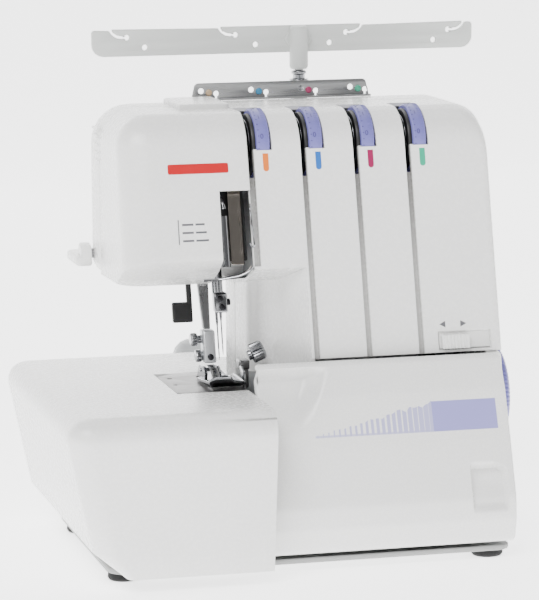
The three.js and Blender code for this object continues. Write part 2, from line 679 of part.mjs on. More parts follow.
add('needle_plate', needlePlate(), STEEL);
add('feed_dog', feedDog(), STEEL);
add('lower_knife', box(7, 8.2, -14, -2, 82, 94.6), STEEL);
add('upper_knife', upperKnife(), STEEL);
add('knife_knob', knifeKnob(), CHROME);
add('needle_bar', needleBar(), CHROME);
add('needle_clamp', needleClamp(), CHROME);
add('clamp_screw_upper', clampScrew(0.2, 141), BLACK);
add('clamp_screw_lower', clampScrew(1, 136.4), BLACK);
add('needle_left', needle(-1.4, 106), CHROME);
add('needle_right', needle(1, 108.6), CHROME);
add('presser_bar', presserBar(), STEEL);
add('foot_holder', footHolder(), CHROME);
add('foot_thumb_screw', footThumbScrew(), CHROME);
add('presser_foot', presserFoot(), CHROME);
add('presser_lifter', presserLifter(), WHITE);
add('needle_threader', needleThreader(), BLACK);
add('upper_looper', upperLooper(), CHROME);
add('lower_looper', lowerLooper(), CHROME);
add('needle_bar_guard', needleBarGuard(), CHROME);
add('wire_thread_guide', wireThreadGuide(), STEEL);

add('handwheel', handwheel(), LAVENDER);
add('main_shaft', mainShaft(), STEEL);
add('drive_pulley', drivenPulley(), CAST);
add('motor', motor(), BLACK);
add('motor_pulley', motorPulley(), CAST);
add('drive_belt', driveBelt(), BLACK);

for (let i = 0; i < CHANNEL.count; i += 1) {
  add(`tension_dial_${i + 1}`, tensionDial(i), LAVENDER);
}
add('stitch_selector', stitchSelector(), WHITE);
add('stitch_length_dial', sideDial(SIDE_DIALS.lengthY), LAVENDER);
add('differential_dial', sideDial(SIDE_DIALS.differentialY), LAVENDER);
add('power_switch', powerSwitch(), BLACK);
add('power_inlet', powerInlet(), BLACK);

add('thread_guide_plate', threadGuidePlate(), STEEL);
add('mast_lower_tube', mastLowerTube(), CHROME);
add('mast_middle_tube', mastMiddleTube(), CHROME);
add('thread_guide_bar', threadGuideBar(), GRAY);
add('spool_stand', spoolStand(), WHITE);
for (let i = 0; i < 4; i += 1) {
  add(`cone_holder_${i + 1}`, coneHolder(i), GRAY);
}

export default machine;
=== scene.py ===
# %% [markdown]
# # An overlock sewing machine, finished in Blender
# The machine's working model is already there: every solid has its size, its place and its joint.
# This notebook gives it its looks. It loads that model as a fixed frame, puts smooth moulded shells,
# polished metal and printed marks around it, and leaves the motion alone.

# %% Load the frame
import math
import bpy
import numpy as np
from mathutils import Matrix, Vector


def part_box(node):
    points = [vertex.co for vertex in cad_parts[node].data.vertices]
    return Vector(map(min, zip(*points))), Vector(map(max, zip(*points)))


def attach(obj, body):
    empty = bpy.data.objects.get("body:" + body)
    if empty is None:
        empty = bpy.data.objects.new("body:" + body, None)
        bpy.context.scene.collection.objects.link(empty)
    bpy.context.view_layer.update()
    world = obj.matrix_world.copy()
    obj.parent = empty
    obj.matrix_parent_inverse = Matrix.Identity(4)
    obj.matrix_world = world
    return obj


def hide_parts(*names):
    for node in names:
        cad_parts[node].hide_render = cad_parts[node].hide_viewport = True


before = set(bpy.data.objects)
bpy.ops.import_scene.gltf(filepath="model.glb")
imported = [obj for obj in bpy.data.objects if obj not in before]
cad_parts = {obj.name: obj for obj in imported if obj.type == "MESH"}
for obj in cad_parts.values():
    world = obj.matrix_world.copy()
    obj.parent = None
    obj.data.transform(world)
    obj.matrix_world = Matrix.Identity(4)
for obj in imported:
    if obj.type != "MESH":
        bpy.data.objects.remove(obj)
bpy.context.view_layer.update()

# %% [markdown]
# The sketches below are in millimetres and measured from the needle hole, as a machinist would measure
# them: x to the right, y away from the operator, z up from the table. Adding NEEDLE puts a sketch in its
# place in the frame, and MM turns it into metres.

# %% Sketch origin
MM = 0.001
plate_low, plate_high = (np.array(corner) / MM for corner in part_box("needle_plate"))
NEEDLE = np.array([plate_high[0] - 6.2, plate_low[1] + 33.0, 0.0])
BED_TOP = float(plate_high[2])
LEAN = 0.25
print("needle hole at", NEEDLE.round(2), "bed top", round(BED_TOP, 2))


# %% [markdown]
# ## Shader sums as plain expressions
# A material graph is easier to read as arithmetic. `Value` wraps a socket and turns + - * / into Math
# nodes; every other node comes from one method, which takes the node's type, its settings and its inputs.

# %% Socket arithmetic
class Value:
    """A number or colour that varies over a surface."""

    def __init__(self, paint, socket):
        self.paint = paint
        self.socket = socket

    def math(self, operation, *terms):
        return self.paint.node("ShaderNodeMath", {"operation": operation}, dict(enumerate(terms)))

    def __add__(self, other):
        return self.math("ADD", self, other)

    def __sub__(self, other):
        return self.math("SUBTRACT", self, other)

    def __mul__(self, other):
        return self.math("MULTIPLY", self, other)

    def __truediv__(self, other):
        return self.math("DIVIDE", self, other)

    def __rsub__(self, other):
        return self.math("SUBTRACT", other, self)

    __radd__ = __add__
    __rmul__ = __mul__

    def over(self, edge, soft=0.0002):
        """0 below the edge and 1 above it, with a ramp as wide as soft."""
        return self.paint.node("ShaderNodeMapRange", {"clamp": True}, {
            "Value": self, "From Min": edge - soft / 2, "From Max": edge + soft / 2})

    def under(self, edge, soft=0.0002):
        return 1 - self.over(edge, soft)

    def between(self, low, high, soft=0.0002):
        return self.over(low, soft) * self.under(high, soft)


class Paint:
    """A material whose nodes are made one at a time."""

    def __init__(self, name):
        self.material = bpy.data.materials.new(name)
        self.material.use_nodes = True
        self.tree = self.material.node_tree
        self.tree.nodes.clear()

    def node(self, kind, settings=None, inputs=None, out=0):
        made = self.tree.nodes.new(kind)
        for key, value in (settings or {}).items():
            setattr(made, key, value)
        for key, value in (inputs or {}).items():
            if isinstance(value, Value):
                self.tree.links.new(value.socket, made.inputs[key])
            else:
                made.inputs[key].default_value = value
        return Value(self, made.outputs[out]) if made.outputs else None

    def place(self):
        """Object coordinates as three values: x, y, z in metres."""
        spot = self.node("ShaderNodeTexCoord", out=3)
        parts = [self.node("ShaderNodeSeparateXYZ", inputs={0: spot}, out=i) for i in range(3)]
        return spot, parts

    def noise(self, spot, scale, detail=3.0, stretch=(1, 1, 1)):
        mapped = self.node("ShaderNodeMapping", {}, {"Vector": spot, "Scale": stretch})
        return self.node("ShaderNodeTexNoise", {}, {"Vector": mapped, "Scale": scale, "Detail": detail})

    def mix(self, share, first, second):
        """A colour between two colours."""
        made = self.tree.nodes.new("ShaderNodeMix")
        made.data_type = "RGBA"
        for key, value in ((0, share), (6, first), (7, second)):
            if isinstance(value, Value):
                self.tree.links.new(value.socket, made.inputs[key])
            else:
                made.inputs[key].default_value = value
        return Value(self, made.outputs[2])

    def bump(self, height, strength, distance=0.0002):
        return self.node("ShaderNodeBump", {}, {"Height": height, "Strength": strength,
                                                "Distance": distance})

    def finish(self, **inputs):
        """The surface shader; names with spaces are written with underscores."""
        sockets = {key.replace("_", " "): value for key, value in inputs.items()}
        shader = self.node("ShaderNodeBsdfPrincipled", {}, sockets)
        self.node("ShaderNodeOutputMaterial", {}, {"Surface": shader})
        return self.material


def rgba(red, green, blue):
    return (red, green, blue, 1.0)


# %% [markdown]
# ## Moulded plastic
# The covers are injection-moulded ABS: a clear gloss, a hardly visible orange-peel ripple from the mould
# and a slight unevenness in colour. Colour, roughness and the ripple all come from noise on Object
# coordinates.

# %% Plastic finishes
def plastic(name, colour, roughness, ripple=0.03, grain=420.0, spread=0.015):
    """Base colour plus a broad drift, roughness plus a fine one, and a two-scale ripple as bump."""
    paint = Paint(name)
    spot, _ = paint.place()
    drift = paint.noise(spot, 14.0, 2.0)
    fine = paint.noise(spot, grain, 2.0)
    wave = paint.noise(spot, 55.0, 1.0)
    dark = rgba(*(c * (1 - 2.2 * spread) for c in colour))
    light = rgba(*(min(1.0, c * (1 + spread)) for c in colour))
    return paint.finish(
        Base_Color=paint.mix(drift, dark, light),
        Roughness=fine * 0.10 + (roughness - 0.05),
        Normal=paint.bump(fine * 0.35 + wave, ripple, 0.00012),
        Specular_IOR_Level=0.5,
    )


WHITE = plastic("white_gloss_abs", (0.83, 0.83, 0.82), 0.27)
WHITE_SATIN = plastic("white_satin_abs", (0.78, 0.78, 0.765), 0.42, 0.02)
PALE_GRAY = plastic("pale_gray_abs", (0.50, 0.515, 0.525), 0.42, 0.06)
BASE_GRAY = plastic("base_gray_abs", (0.30, 0.305, 0.30), 0.5, 0.12)
BLACK = plastic("black_abs", (0.005, 0.005, 0.006), 0.45, 0.12, spread=0.2)
RUBBER = plastic("foot_rubber", (0.006, 0.006, 0.0065), 0.72, 0.6, 400.0, 0.25)
LAVENDER = plastic("lavender_abs", (0.15, 0.143, 0.41), 0.38, 0.08, spread=0.05)
LAVENDER_DARK = plastic("lavender_ink", (0.045, 0.04, 0.16), 0.5, 0.1)
INK = plastic("gray_ink", (0.10, 0.10, 0.11), 0.5, 0.1)
print("plastics ready")

# %% [markdown]
# ## Metals
# Three kinds show: bright chrome on the foot and the bars, brushed steel on the needle plate and the top
# guide, and the raw die-cast frame. Chrome gets faint wipe marks, the brushed steel long fine lines in
# one direction, the casting a coarse sandy bump.

# %% Metal finishes
def metal(name, colour, roughness, lines=(1, 1, 1), scale=300.0, streak=0.08, ripple=0.05):
    """Full metal; a stretched noise makes fine lines that vary roughness, tint and bump together."""
    paint = Paint(name)
    spot, _ = paint.place()
    brushed = paint.noise(spot, scale, 4.0, lines)
    cloud = paint.noise(spot, 25.0, 2.0)
    dark = rgba(*(c * 0.86 for c in colour))
    return paint.finish(
        Base_Color=paint.mix(brushed * 0.6 + cloud * 0.4, dark, rgba(*colour)),
        Metallic=1.0,
        Roughness=brushed * streak + cloud * streak * 0.5 + max(0.02, roughness - streak * 0.75),
        Normal=paint.bump(brushed, ripple, 0.00005),
    )


CHROME = metal("bright_chrome", (0.33, 0.335, 0.35), 0.16, (1, 1, 0.25), 240.0, 0.07, 0.04)
CHROME_WORN = metal("satin_chrome", (0.24, 0.24, 0.245), 0.28, (1, 1, 0.2), 300.0, 0.12, 0.08)
BRUSHED = metal("brushed_steel", (0.19, 0.185, 0.185), 0.38, (0.05, 1, 1), 700.0, 0.18, 0.16)
DARK_STEEL = metal("polished_dark_steel", (0.30, 0.29, 0.285), 0.2, (1, 1, 0.1), 400.0, 0.1, 0.06)
CASTING = metal("die_cast_aluminium", (0.42, 0.43, 0.44), 0.55, (1, 1, 1), 500.0, 0.15, 0.5)
BLACK_SCREW = metal("blackened_screw", (0.05, 0.05, 0.055), 0.3, (1, 1, 1), 300.0, 0.1, 0.1)
print("metals ready")


# %% [markdown]
# ## Shape tools
# Every piece is one or more grids of points worked out at once with numpy. Grids that share an edge are
# welded, and a face whose corners fall together becomes a triangle, so poles close without special cases.

# %% Grids to meshes
def grid_quads(rows, cols):
    """Corner numbers of the quads between neighbouring rows and columns; the normal is row x column."""
    start = (np.arange(rows - 1)[:, None] * cols + np.arange(cols - 1)).reshape(-1)
    return np.stack([start, start + cols, start + cols + 1, start + 1], -1)


def gathered(grids):
    """Points and quads of several grids in one list."""
    points, quads, base = [], [], 0
    for grid in grids:
        rows, cols = grid.shape[:2]
        points.append(grid.reshape(-1, 3))
        quads.append(grid_quads(rows, cols) + base)
        base += rows * cols
    return np.concatenate(points), np.concatenate(quads)


def welded(points, quads):
    """Merges points that coincide to a thousandth; returns points, whole quads and triangles."""
    _, first, same = np.unique(np.round(points, 3), axis=0, return_index=True, return_inverse=True)
    quads = same.reshape(-1)[quads]
    repeat = quads == np.roll(quads, -1, axis=1)
    count = repeat.sum(1)
    whole = quads[count == 0]
    single = quads[count == 1]
    keep = ~repeat[count == 1]
    triangles = single[keep].reshape(-1, 3)
    return points[first], whole, triangles


def piece(name, grids, material, body, stands_for=(), wall=0.0, edge=0.0, sharp=38.0,
          keep=None, shape=None, flip=False, caps=()):
    """Makes one finished object: welds the grids, faces them outwards, thickens and softens them."""
    points, quads = gathered(grids)
    if keep is not None:
        quads = quads[keep(points[quads].mean(1))]
    if shape is not None:
        points = shape(points)
    points, quads, triangles = welded(points, quads)
    faces = quads.tolist() + triangles.tolist()
    lookup = {tuple(key): i for i, key in enumerate(np.round(points, 3).tolist())} if len(caps) else {}
    for cap in caps:
        faces.append([lookup[tuple(key)] for key in np.round(cap, 3).tolist()])
    used = np.unique(np.concatenate([np.asarray(face) for face in faces]) if len(caps) else
                     np.concatenate([quads.reshape(-1), triangles.reshape(-1)]))
    mesh = bpy.data.meshes.new(name)
    renumber = np.full(len(points), -1)
    renumber[used] = np.arange(len(used))
    mesh.from_pydata(((points[used] + NEEDLE) * MM).tolist(), [],
                     [renumber[face].tolist() for face in faces])
    mesh.update()
    obj = bpy.data.objects.new(name, mesh)
    bpy.context.scene.collection.objects.link(obj)
    obj.data.materials.append(material)
    outward(obj, flip)
    if wall:
        thick = obj.modifiers.new("wall", "SOLIDIFY")
        thick.thickness = wall * MM
        thick.offset = -1.0
    if edge:
        soft = obj.modifiers.new("edge", "BEVEL")
        soft.width = edge * MM
        soft.segments = 2
        soft.limit_method = "ANGLE"
        soft.angle_limit = math.radians(40)
    return settled(obj, body, stands_for, sharp)


def outward(obj, flip):
    """Turns all faces to point away from the piece's middle, by the sign of its volume about that middle."""
    mesh = obj.data
    centres = np.empty(len(mesh.polygons) * 3)
    normals = np.empty(len(mesh.polygons) * 3)
    areas = np.empty(len(mesh.polygons))
    mesh.polygons.foreach_get("center", centres)
    mesh.polygons.foreach_get("normal", normals)
    mesh.polygons.foreach_get("area", areas)
    centres = centres.reshape(-1, 3)
    middle = (centres * areas[:, None]).sum(0) / areas.sum()
    volume = ((centres - middle) * normals.reshape(-1, 3)).sum(1) @ areas
    if (volume < 0) != flip:
        mesh.flip_normals()


def settled(obj, body, stands_for=(), sharp=38.0):
    """Applies the modifiers, shades by angle, fixes the piece to its body and hides the solids it stands
    for.
    """
    if obj.modifiers or obj.type != "MESH":
        graph = bpy.context.evaluated_depsgraph_get()
        mesh = bpy.data.meshes.new_from_object(obj.evaluated_get(graph))
        if obj.type == "MESH":
            obj.modifiers.clear()
            obj.data = mesh
        else:
            solid = bpy.data.objects.new(obj.name + "_mesh", mesh)
            bpy.context.scene.collection.objects.link(solid)
            solid.matrix_world = obj.matrix_world
            bpy.data.objects.remove(obj)
            obj = solid
    mesh = obj.data
    mesh.shade_smooth()
    mesh.set_sharp_from_angle(angle=math.radians(sharp))
    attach(obj, body)
    if stands_for:
        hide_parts(*stands_for)
    print(obj.name, len(mesh.polygons), "faces on", body)
    return obj


# %% [markdown]
# Four shape makers cover nearly everything: a box whose edges and corners are parts of spheres, a turned
# shape, a plate with a rounded rim cut from any outline, and a section carried along a path.

# %% Rounded box
def soft_lines(low, high, round_low, round_high, steps, cuts):
    """Grid lines on one axis: equal angles through both round edges, plus one line at each cut."""
    turn = 1 - np.tan(np.linspace(np.pi / 4, 0, steps + 1))
    lines = np.concatenate([low + round_low * turn, high - round_high * turn, np.array(cuts, float)])
    return np.unique(np.round(lines, 4))


def rounded_box(low, high, round_low, round_high=None, steps=5, cuts=((), (), ())):
    """Six grids on a box: each point goes to its nearest point of the core, then out by the radius."""
    low, high = np.array(low, float), np.array(high, float)
    round_low = np.broadcast_to(np.array(round_low, float), 3)
    round_high = round_low if round_high is None else np.broadcast_to(np.array(round_high, float), 3)
    lines = [soft_lines(low[i], high[i], round_low[i], round_high[i], steps, cuts[i]) for i in range(3)]
    grids = []
    for axis in range(3):
        a, b = (axis + 1) % 3, (axis + 2) % 3
        u, v = np.meshgrid(lines[a], lines[b], indexing="ij")
        for side in (low, high):
            grid = np.empty(u.shape + (3,))
            grid[..., axis], grid[..., a], grid[..., b] = side[axis], u, v
            core = np.clip(grid, low + round_low, high - round_high)
            offset = grid - core
            radius = np.maximum(np.where(offset < 0, round_low, round_high), 1e-9)
            unit = offset / radius
            length = np.linalg.norm(unit, axis=-1, keepdims=True)
            grid = core + radius * unit / np.maximum(length, 1e-9)
            grids.append(grid if side is high else grid[::-1])
    return grids


# %% Turned shape
AXES = {"x": (1, 2, 0), "y": (2, 0, 1), "z": (0, 1, 2)}


def turned(profile, axis, centre, steps=48, ripples=0, depth=0.0):
    """Spins (radius, height) points about an axis; ripples cut that many flutes of a depth into the rim."""
    profile = np.array(profile, float)
    angle = np.linspace(0, 2 * np.pi, steps + 1)
    flute = 1 - depth * (0.5 + 0.5 * np.cos(ripples * angle)) * (profile[:, 0].max() > 0)
    rim = profile[:, 0][:, None] / max(profile[:, 0].max(), 1e-9)
    radius = profile[:, 0][:, None] * np.where(rim > 0.9, flute, 1.0)
    u, v, w = AXES[axis]
    grid = np.empty(radius.shape + (3,))
    grid[..., u] = radius * np.cos(angle)
    grid[..., v] = radius * np.sin(angle)
    grid[..., w] = profile[:, 1][:, None]
    grid[:, -1] = grid[:, 0]
    return [grid + np.array(centre, float)]


def rounded_profile(points, radius, steps=4):
    """A turning profile whose inner corners are replaced by arcs of a radius."""
    return arc_corners([(r, h, radius if 0 < i < len(points) - 1 else 0.0)
                        for i, (r, h) in enumerate(points)], steps, closed=False)


# %% Outlines and plates
def arc_corners(corners, steps=6, closed=True):
    """A line through corners (u, v, radius), each corner an arc that touches both of its sides."""
    points = []
    count = len(corners)
    for i, corner in enumerate(corners):
        here = np.array(corner[:2], float)
        radius = corner[2] if len(corner) > 2 else 0.0
        if radius <= 0 or (not closed and i in (0, count - 1)):
            points.append(here)
            continue
        before = np.array(corners[i - 1][:2], float) - here
        after = np.array(corners[(i + 1) % count][:2], float) - here
        before /= np.linalg.norm(before)
        after /= np.linalg.norm(after)
        half = math.acos(np.clip(before @ after, -1, 1)) / 2
        middle = (before + after) / np.linalg.norm(before + after)
        centre = here + middle * radius / math.sin(half)
        start = here + before * radius / math.tan(half) - centre
        end = here + after * radius / math.tan(half) - centre
        share = np.linspace(0, 1, steps + 1)[:, None]
        sweep = math.pi - 2 * half
        arc = (np.sin((1 - share) * sweep) * start + np.sin(share * sweep) * end) / math.sin(sweep)
        points.extend(centre + arc)
    return np.array(points)


def outline_normals(points):
    """Outward unit normals of a closed outline, whichever way round it runs."""
    ahead = np.roll(points, -1, 0) - points
    ahead /= np.maximum(np.linalg.norm(ahead, axis=1, keepdims=True), 1e-9)
    along = ahead + np.roll(ahead, 1, 0)
    along /= np.maximum(np.linalg.norm(along, axis=1, keepdims=True), 1e-9)
    normal = np.stack([along[:, 1], -along[:, 0]], 1)
    nxt = np.roll(points, -1, 0)
    area = (points[:, 0] * nxt[:, 1] - nxt[:, 0] * points[:, 1]).sum()
    stretch = np.maximum((np.roll(ahead, 1, 0) * ahead).sum(1), -0.5)
    normal /= np.sqrt((1 + stretch[:, None]) / 2)
    return normal if area > 0 else -normal


def plate(outline, levels, facing="z"):
    """Rings of an outline at (height, inset) levels, one row of points per level."""
    points = np.array(outline, float)
    normal = outline_normals(points)
    u, v, w = {"z": (0, 1, 2), "y": (0, 2, 1), "x": (1, 2, 0)}[facing]
    rings = np.empty((len(levels), len(points) + 1, 3))
    for row, (height, inset) in zip(rings, levels):
        ring = points - normal * inset
        row[:-1, u], row[:-1, v], row[:, w] = ring[:, 0], ring[:, 1], height
        row[-1] = row[0]
    return rings


def rim(low, high, radius, steps=4):
    """Plate levels for a slab from low to high whose edge is rounded at the high end."""
    angle = np.linspace(0, np.pi / 2, steps + 1)
    sign = 1 if high > low else -1
    top = [(high - sign * radius * (1 - math.sin(a)), radius * (1 - math.cos(a))) for a in angle]
    return [(low, 0.0)] + top


def slab(name, outline, levels, material, body, facing="z", stands_for=(), shape=None, sharp=38.0):
    """A plate made into a piece."""
    rings = plate(outline, levels, facing)
    caps = [rings[0][:-1], rings[-1][:-1]]
    if shape is not None:
        flat = rings.reshape(-1, 3)
        rings = shape(flat).reshape(rings.shape)
        caps = [shape(cap) for cap in caps]
    return piece(name, [rings], material, body, stands_for, caps=caps, sharp=sharp)


# %% Section along a path
def smooth_path(points, count=48):
    """Catmull-Rom curve through points: each stretch is the usual cubic of its four nearest points."""
    knots = np.array(points, float)
    knots = np.vstack([2 * knots[0] - knots[1], knots, 2 * knots[-1] - knots[-2]])
    place = np.linspace(0, len(points) - 1, count)
    i = np.minimum(place.astype(int), len(points) - 2)
    t = (place - i)[:, None]
    p0, p1, p2, p3 = (knots[i + k] for k in range(4))
    return 0.5 * (2 * p1 + (p2 - p0) * t + (2 * p0 - 5 * p1 + 4 * p2 - p3) * t ** 2
                  + (3 * p1 - p0 - 3 * p2 + p3) * t ** 3)


def swept(path, radius, sides=12, flat=1.0, up=(0, 0, 1)):
    """A round or flattened rod along a path: rings across the path's direction, closed at both ends."""
    path = np.array(path, float)
    ahead = np.gradient(path, axis=0)
    ahead /= np.linalg.norm(ahead, axis=1, keepdims=True)
    side = np.cross(ahead, np.array(up, float))
    side /= np.maximum(np.linalg.norm(side, axis=1, keepdims=True), 1e-9)
    top = np.cross(side, ahead)
    angle = np.linspace(0, 2 * np.pi, sides + 1)
    radius = np.broadcast_to(np.array(radius, float), len(path))[:, None, None]
    ring = (np.cos(angle)[:, None] * side[:, None, :] + flat * np.sin(angle)[:, None] * top[:, None, :])
    grid = path[:, None, :] + radius * ring
    grid[:, -1] = grid[:, 0]
    ends = [np.broadcast_to(path[i], (1,) + grid.shape[1:]) for i in (0, -1)]
    return [np.concatenate([ends[0], grid, ends[1]])]


def leaning(points):
    """Leans a shape with the needle line: y grows by the lean for each millimetre above the bed."""
    out = np.array(points, float)
    out[..., 1] += (out[..., 2] - BED_TOP) * LEAN
    return out


def front_y(z):
    """Front of the upper body at a height: a plane that leans back as it rises."""
    return -40.0 + (z - 114.0) * LEAN


def step(value, start, end):
    """Smooth step from 0 at start to 1 at end."""
    share = np.clip((value - start) / (end - start), 0, 1)
    return share * share * (3 - 2 * share)


# %% [markdown]
# ## Camera, floor and light
# The machine is seen from the front, a little from the left and a little from above, through a long lens,
# as a catalogue would show it. The floor is a pale sheet that rises behind the machine.

# %% Camera and stage
scene = bpy.context.scene
target = Vector((-0.00105, 0.0, 0.1360))
azimuth, elevation, roll = math.radians(-14.16), math.radians(8.93), math.radians(0.447)
ahead = Vector((-math.sin(azimuth) * math.cos(elevation), math.cos(azimuth) * math.cos(elevation),
                -math.sin(elevation)))
across = ahead.cross(Vector((0, 0, 1))).normalized()
above = across.cross(ahead)
right = across * math.cos(roll) - above * math.sin(roll)
up = across * math.sin(roll) + above * math.cos(roll)
camera = bpy.data.objects.new("camera", bpy.data.cameras.new("camera"))
scene.collection.objects.link(camera)
camera.matrix_world = Matrix.Translation(target - ahead * 1.8448) @ Matrix(
    (right, up, -ahead)).transposed().to_4x4()
camera.data.lens = 192.8
camera.data.sensor_fit = "VERTICAL"
camera.data.sensor_height = 36.0
camera.data.clip_end = 20.0
scene.camera = camera


def floor_material():
    """Plain paper white with a trace of unevenness."""
    paint = Paint("paper_floor")
    spot, _ = paint.place()
    cloud = paint.noise(spot, 3.0, 2.0)
    return paint.finish(Base_Color=paint.mix(cloud, rgba(0.86, 0.86, 0.86), rgba(0.88, 0.88, 0.88)),
                        Roughness=cloud * 0.1 + 0.75, Emission_Color=rgba(1, 1, 1), Emission_Strength=2.6)


turn = np.linspace(0, np.pi / 2, 25)
sheet_line = np.concatenate([[[-3.0, 0.0]],
                             np.stack([1.6 + 0.8 * np.sin(turn), 0.8 - 0.8 * np.cos(turn)], 1),
                             [[2.4, 3.6]]])
wide = np.linspace(-4.0, 4.0, 9)
floor_grid = np.empty((len(sheet_line), len(wide), 3))
floor_grid[..., 0] = wide
floor_grid[..., 1:] = sheet_line[:, None, :]
floor_mesh = bpy.data.meshes.new("floor")
floor_mesh.from_pydata(floor_grid.reshape(-1, 3).tolist(), [],
                       grid_quads(len(sheet_line), len(wide))[:, ::-1].tolist())
floor_mesh.shade_smooth()
floor_mesh.materials.append(floor_material())
floor = bpy.data.objects.new("floor", floor_mesh)
scene.collection.objects.link(floor)
print("camera at", tuple(round(v, 3) for v in camera.matrix_world.translation), "floor laid")

# %% [markdown]
# Light comes from a big soft sheet above and to the left, a weaker one at the right, one above and
# behind, a low front fill and an even pale surround, so that glossy white plastic shows soft gradients
# and the chrome has something to mirror. The floor glows a little, as a lit paper sweep does, which keeps
# the shadows light.

# %% Lights
def lamp(name, place, aim, size, power, tint=(1, 1, 1)):
    """A square soft light that looks at a point."""
    data = bpy.data.lights.new(name, "AREA")
    data.shape = "RECTANGLE"
    data.size, data.size_y = size
    data.energy = power
    data.color = tint
    obj = bpy.data.objects.new(name, data)
    obj.location = place
    obj.rotation_euler = (Vector(aim) - Vector(place)).to_track_quat("-Z", "Y").to_euler()
    scene.collection.objects.link(obj)
    return obj


lamp("key_sheet", (-0.9, -1.3, 1.7), (0, 0, 0.12), (1.1, 1.1), 52.0)
lamp("side_sheet", (1.6, -0.6, 0.9), (0, 0, 0.12), (0.5, 1.4), 5.0, (1.0, 0.985, 0.97))
lamp("top_sheet", (0.1, 0.5, 1.9), (0, 0, 0.1), (1.4, 1.0), 13.0)
lamp("front_fill", (-0.2, -2.2, 0.5), (0, 0, 0.12), (1.0, 0.5), 3.0, (1.0, 0.99, 0.98))
world = bpy.data.worlds.new("surround")
world.use_nodes = True
world.node_tree.nodes["Background"].inputs["Color"].default_value = rgba(1.0, 1.0, 1.0)
world.node_tree.nodes["Background"].inputs["Strength"].default_value = 0.26
scene.world = world
print("lights set")

# %% [markdown]
# ## The box at the left
# The big box carries the cloth in front of the needle and slides off to the left. It is one deep moulding
# with generous edges, drafted at its left side and open below. A bay in its top takes the steel needle
# plate.

# %% Cloth-plate box
box_low, box_high = (-109.5, -102.0, 8.0), (6.5, 105.0, 95.0)
CURL = 14.0


def box_draft(points):
    """Left wall comes in 18 mm and right wall 3 mm towards the table; the lower left edge curls in."""
    out = points.copy()
    x, z = points[:, 0], points[:, 2]
    fall = (box_high[2] - z) / (box_high[2] - box_low[2])
    left = (box_high[0] - x) / (box_high[0] - box_low[0])
    curl = CURL - np.sqrt(CURL ** 2 - np.clip(box_low[2] + CURL - z, 0, CURL) ** 2)
    out[:, 0] += fall * (18 * left - 3 * (1 - left)) + curl * left ** 6
    return out


def box_faces(mid):
    """Drops the floor, the side towards the machine and the bay for the needle plate."""
    x, y, z = mid.T
    floor_face = z < box_low[2] + 0.01
    machine_side = (x > box_high[0] - 0.01) & (y > -84)
    bay = (z > 80) & (x > -34) & (np.abs(y + 1.5) < 31.8)
    return ~(floor_face | machine_side | bay)


piece("cloth_box", rounded_box(box_low, box_high, (15, 13, 0), (0, 9, 13), 8,
                               ((-60, -34.0), (-86, -84, -33.3, 30.3, 60), (22, 40, 60, 80))),
      WHITE, "box", ("cloth_plate_cover",), wall=2.6, edge=0.5, sharp=45,
      keep=box_faces, shape=box_draft)

# %% [markdown]
# ## The looper door
# A leaning front door covers the loopers: it slides to the right and then folds down about a rod near the
# table. Its left top corner is scooped out for the cloth, and a finger pocket is pressed in at the lower
# right.

# %% Looper door
door_line = arc_corners([(-46, 111.5), (-50, 110.5, 4), (-59, 94, 26), (-70, 66, 60), (-80.4, 36, 16),
                         (-81.2, 24, 12), (-78.5, 11, 3), (-76, 9.8)], 7, closed=False)


def resample(line, spacing):
    """Points at equal distances along a line."""
    length = np.concatenate([[0], np.cumsum(np.linalg.norm(np.diff(line, axis=0), axis=1))])
    place = np.linspace(0, length[-1], int(length[-1] / spacing) + 1)
    return np.stack([np.interp(place, length, line[:, k]) for k in range(2)], 1)


def open_normals(line):
    """Unit normals of an open line, to the right of its direction."""
    ahead = np.gradient(line, axis=0)
    ahead /= np.maximum(np.linalg.norm(ahead, axis=1, keepdims=True), 1e-9)
    return np.stack([ahead[:, 1], -ahead[:, 0]], 1)


def shelled(line, left, right, radius, spacing, dent=None, extra=(), turn_in=4.0):
    """A (y, z) line carried along x, its ends rounded by moving in along the line's normals.
    dent gives how far each (x, z) point is pressed in; extra adds x lines."""
    normal = open_normals(line)
    angle = np.linspace(0, np.pi / 2, 6)
    middle = np.unique(np.round(np.concatenate(
        [np.arange(left + radius, right - radius, spacing), [right - radius], np.array(extra, float)]), 3))
    xs = np.concatenate([[left], left + radius * (1 - np.sin(angle[::-1])), middle[1:-1],
                         right - radius * (1 - np.sin(angle)), [right]])
    inset = np.concatenate([[radius + turn_in], radius * (1 - np.cos(angle[::-1])),
                            np.zeros(len(middle) - 2), radius * (1 - np.cos(angle)), [radius + turn_in]])
    grid = np.empty((len(line), len(xs), 3))
    grid[..., 0] = xs
    pressed = inset[None, :] + (dent(xs[None, :], line[:, 1][:, None], line[:, 0][:, None]) if dent else 0)
    grid[..., 1:] = line[:, None, :] + normal[:, None, :] * pressed[..., None]
    return grid


def door_dent(x, z, y):
    """Scoop at the top left, finger pocket at the lower right, both with soft edges."""
    scoop = 8.5 * (1 - step(x + 0.45 * (110 - z), 36, 50)) * step(z, 72, 97) * (1 - step(z, 106.2, 109.6))
    side = step(x, 122.6, 124.6) * (1 - step(x + 8 * step(z, 50, 56), 142.4, 144.4))
    tall = step(z, 28, 33) * (1 - step(z, 52.6, 54.6))
    pocket = side * tall * (3.2 + 4.3 * step(z, 30, 54))
    return scoop + pocket


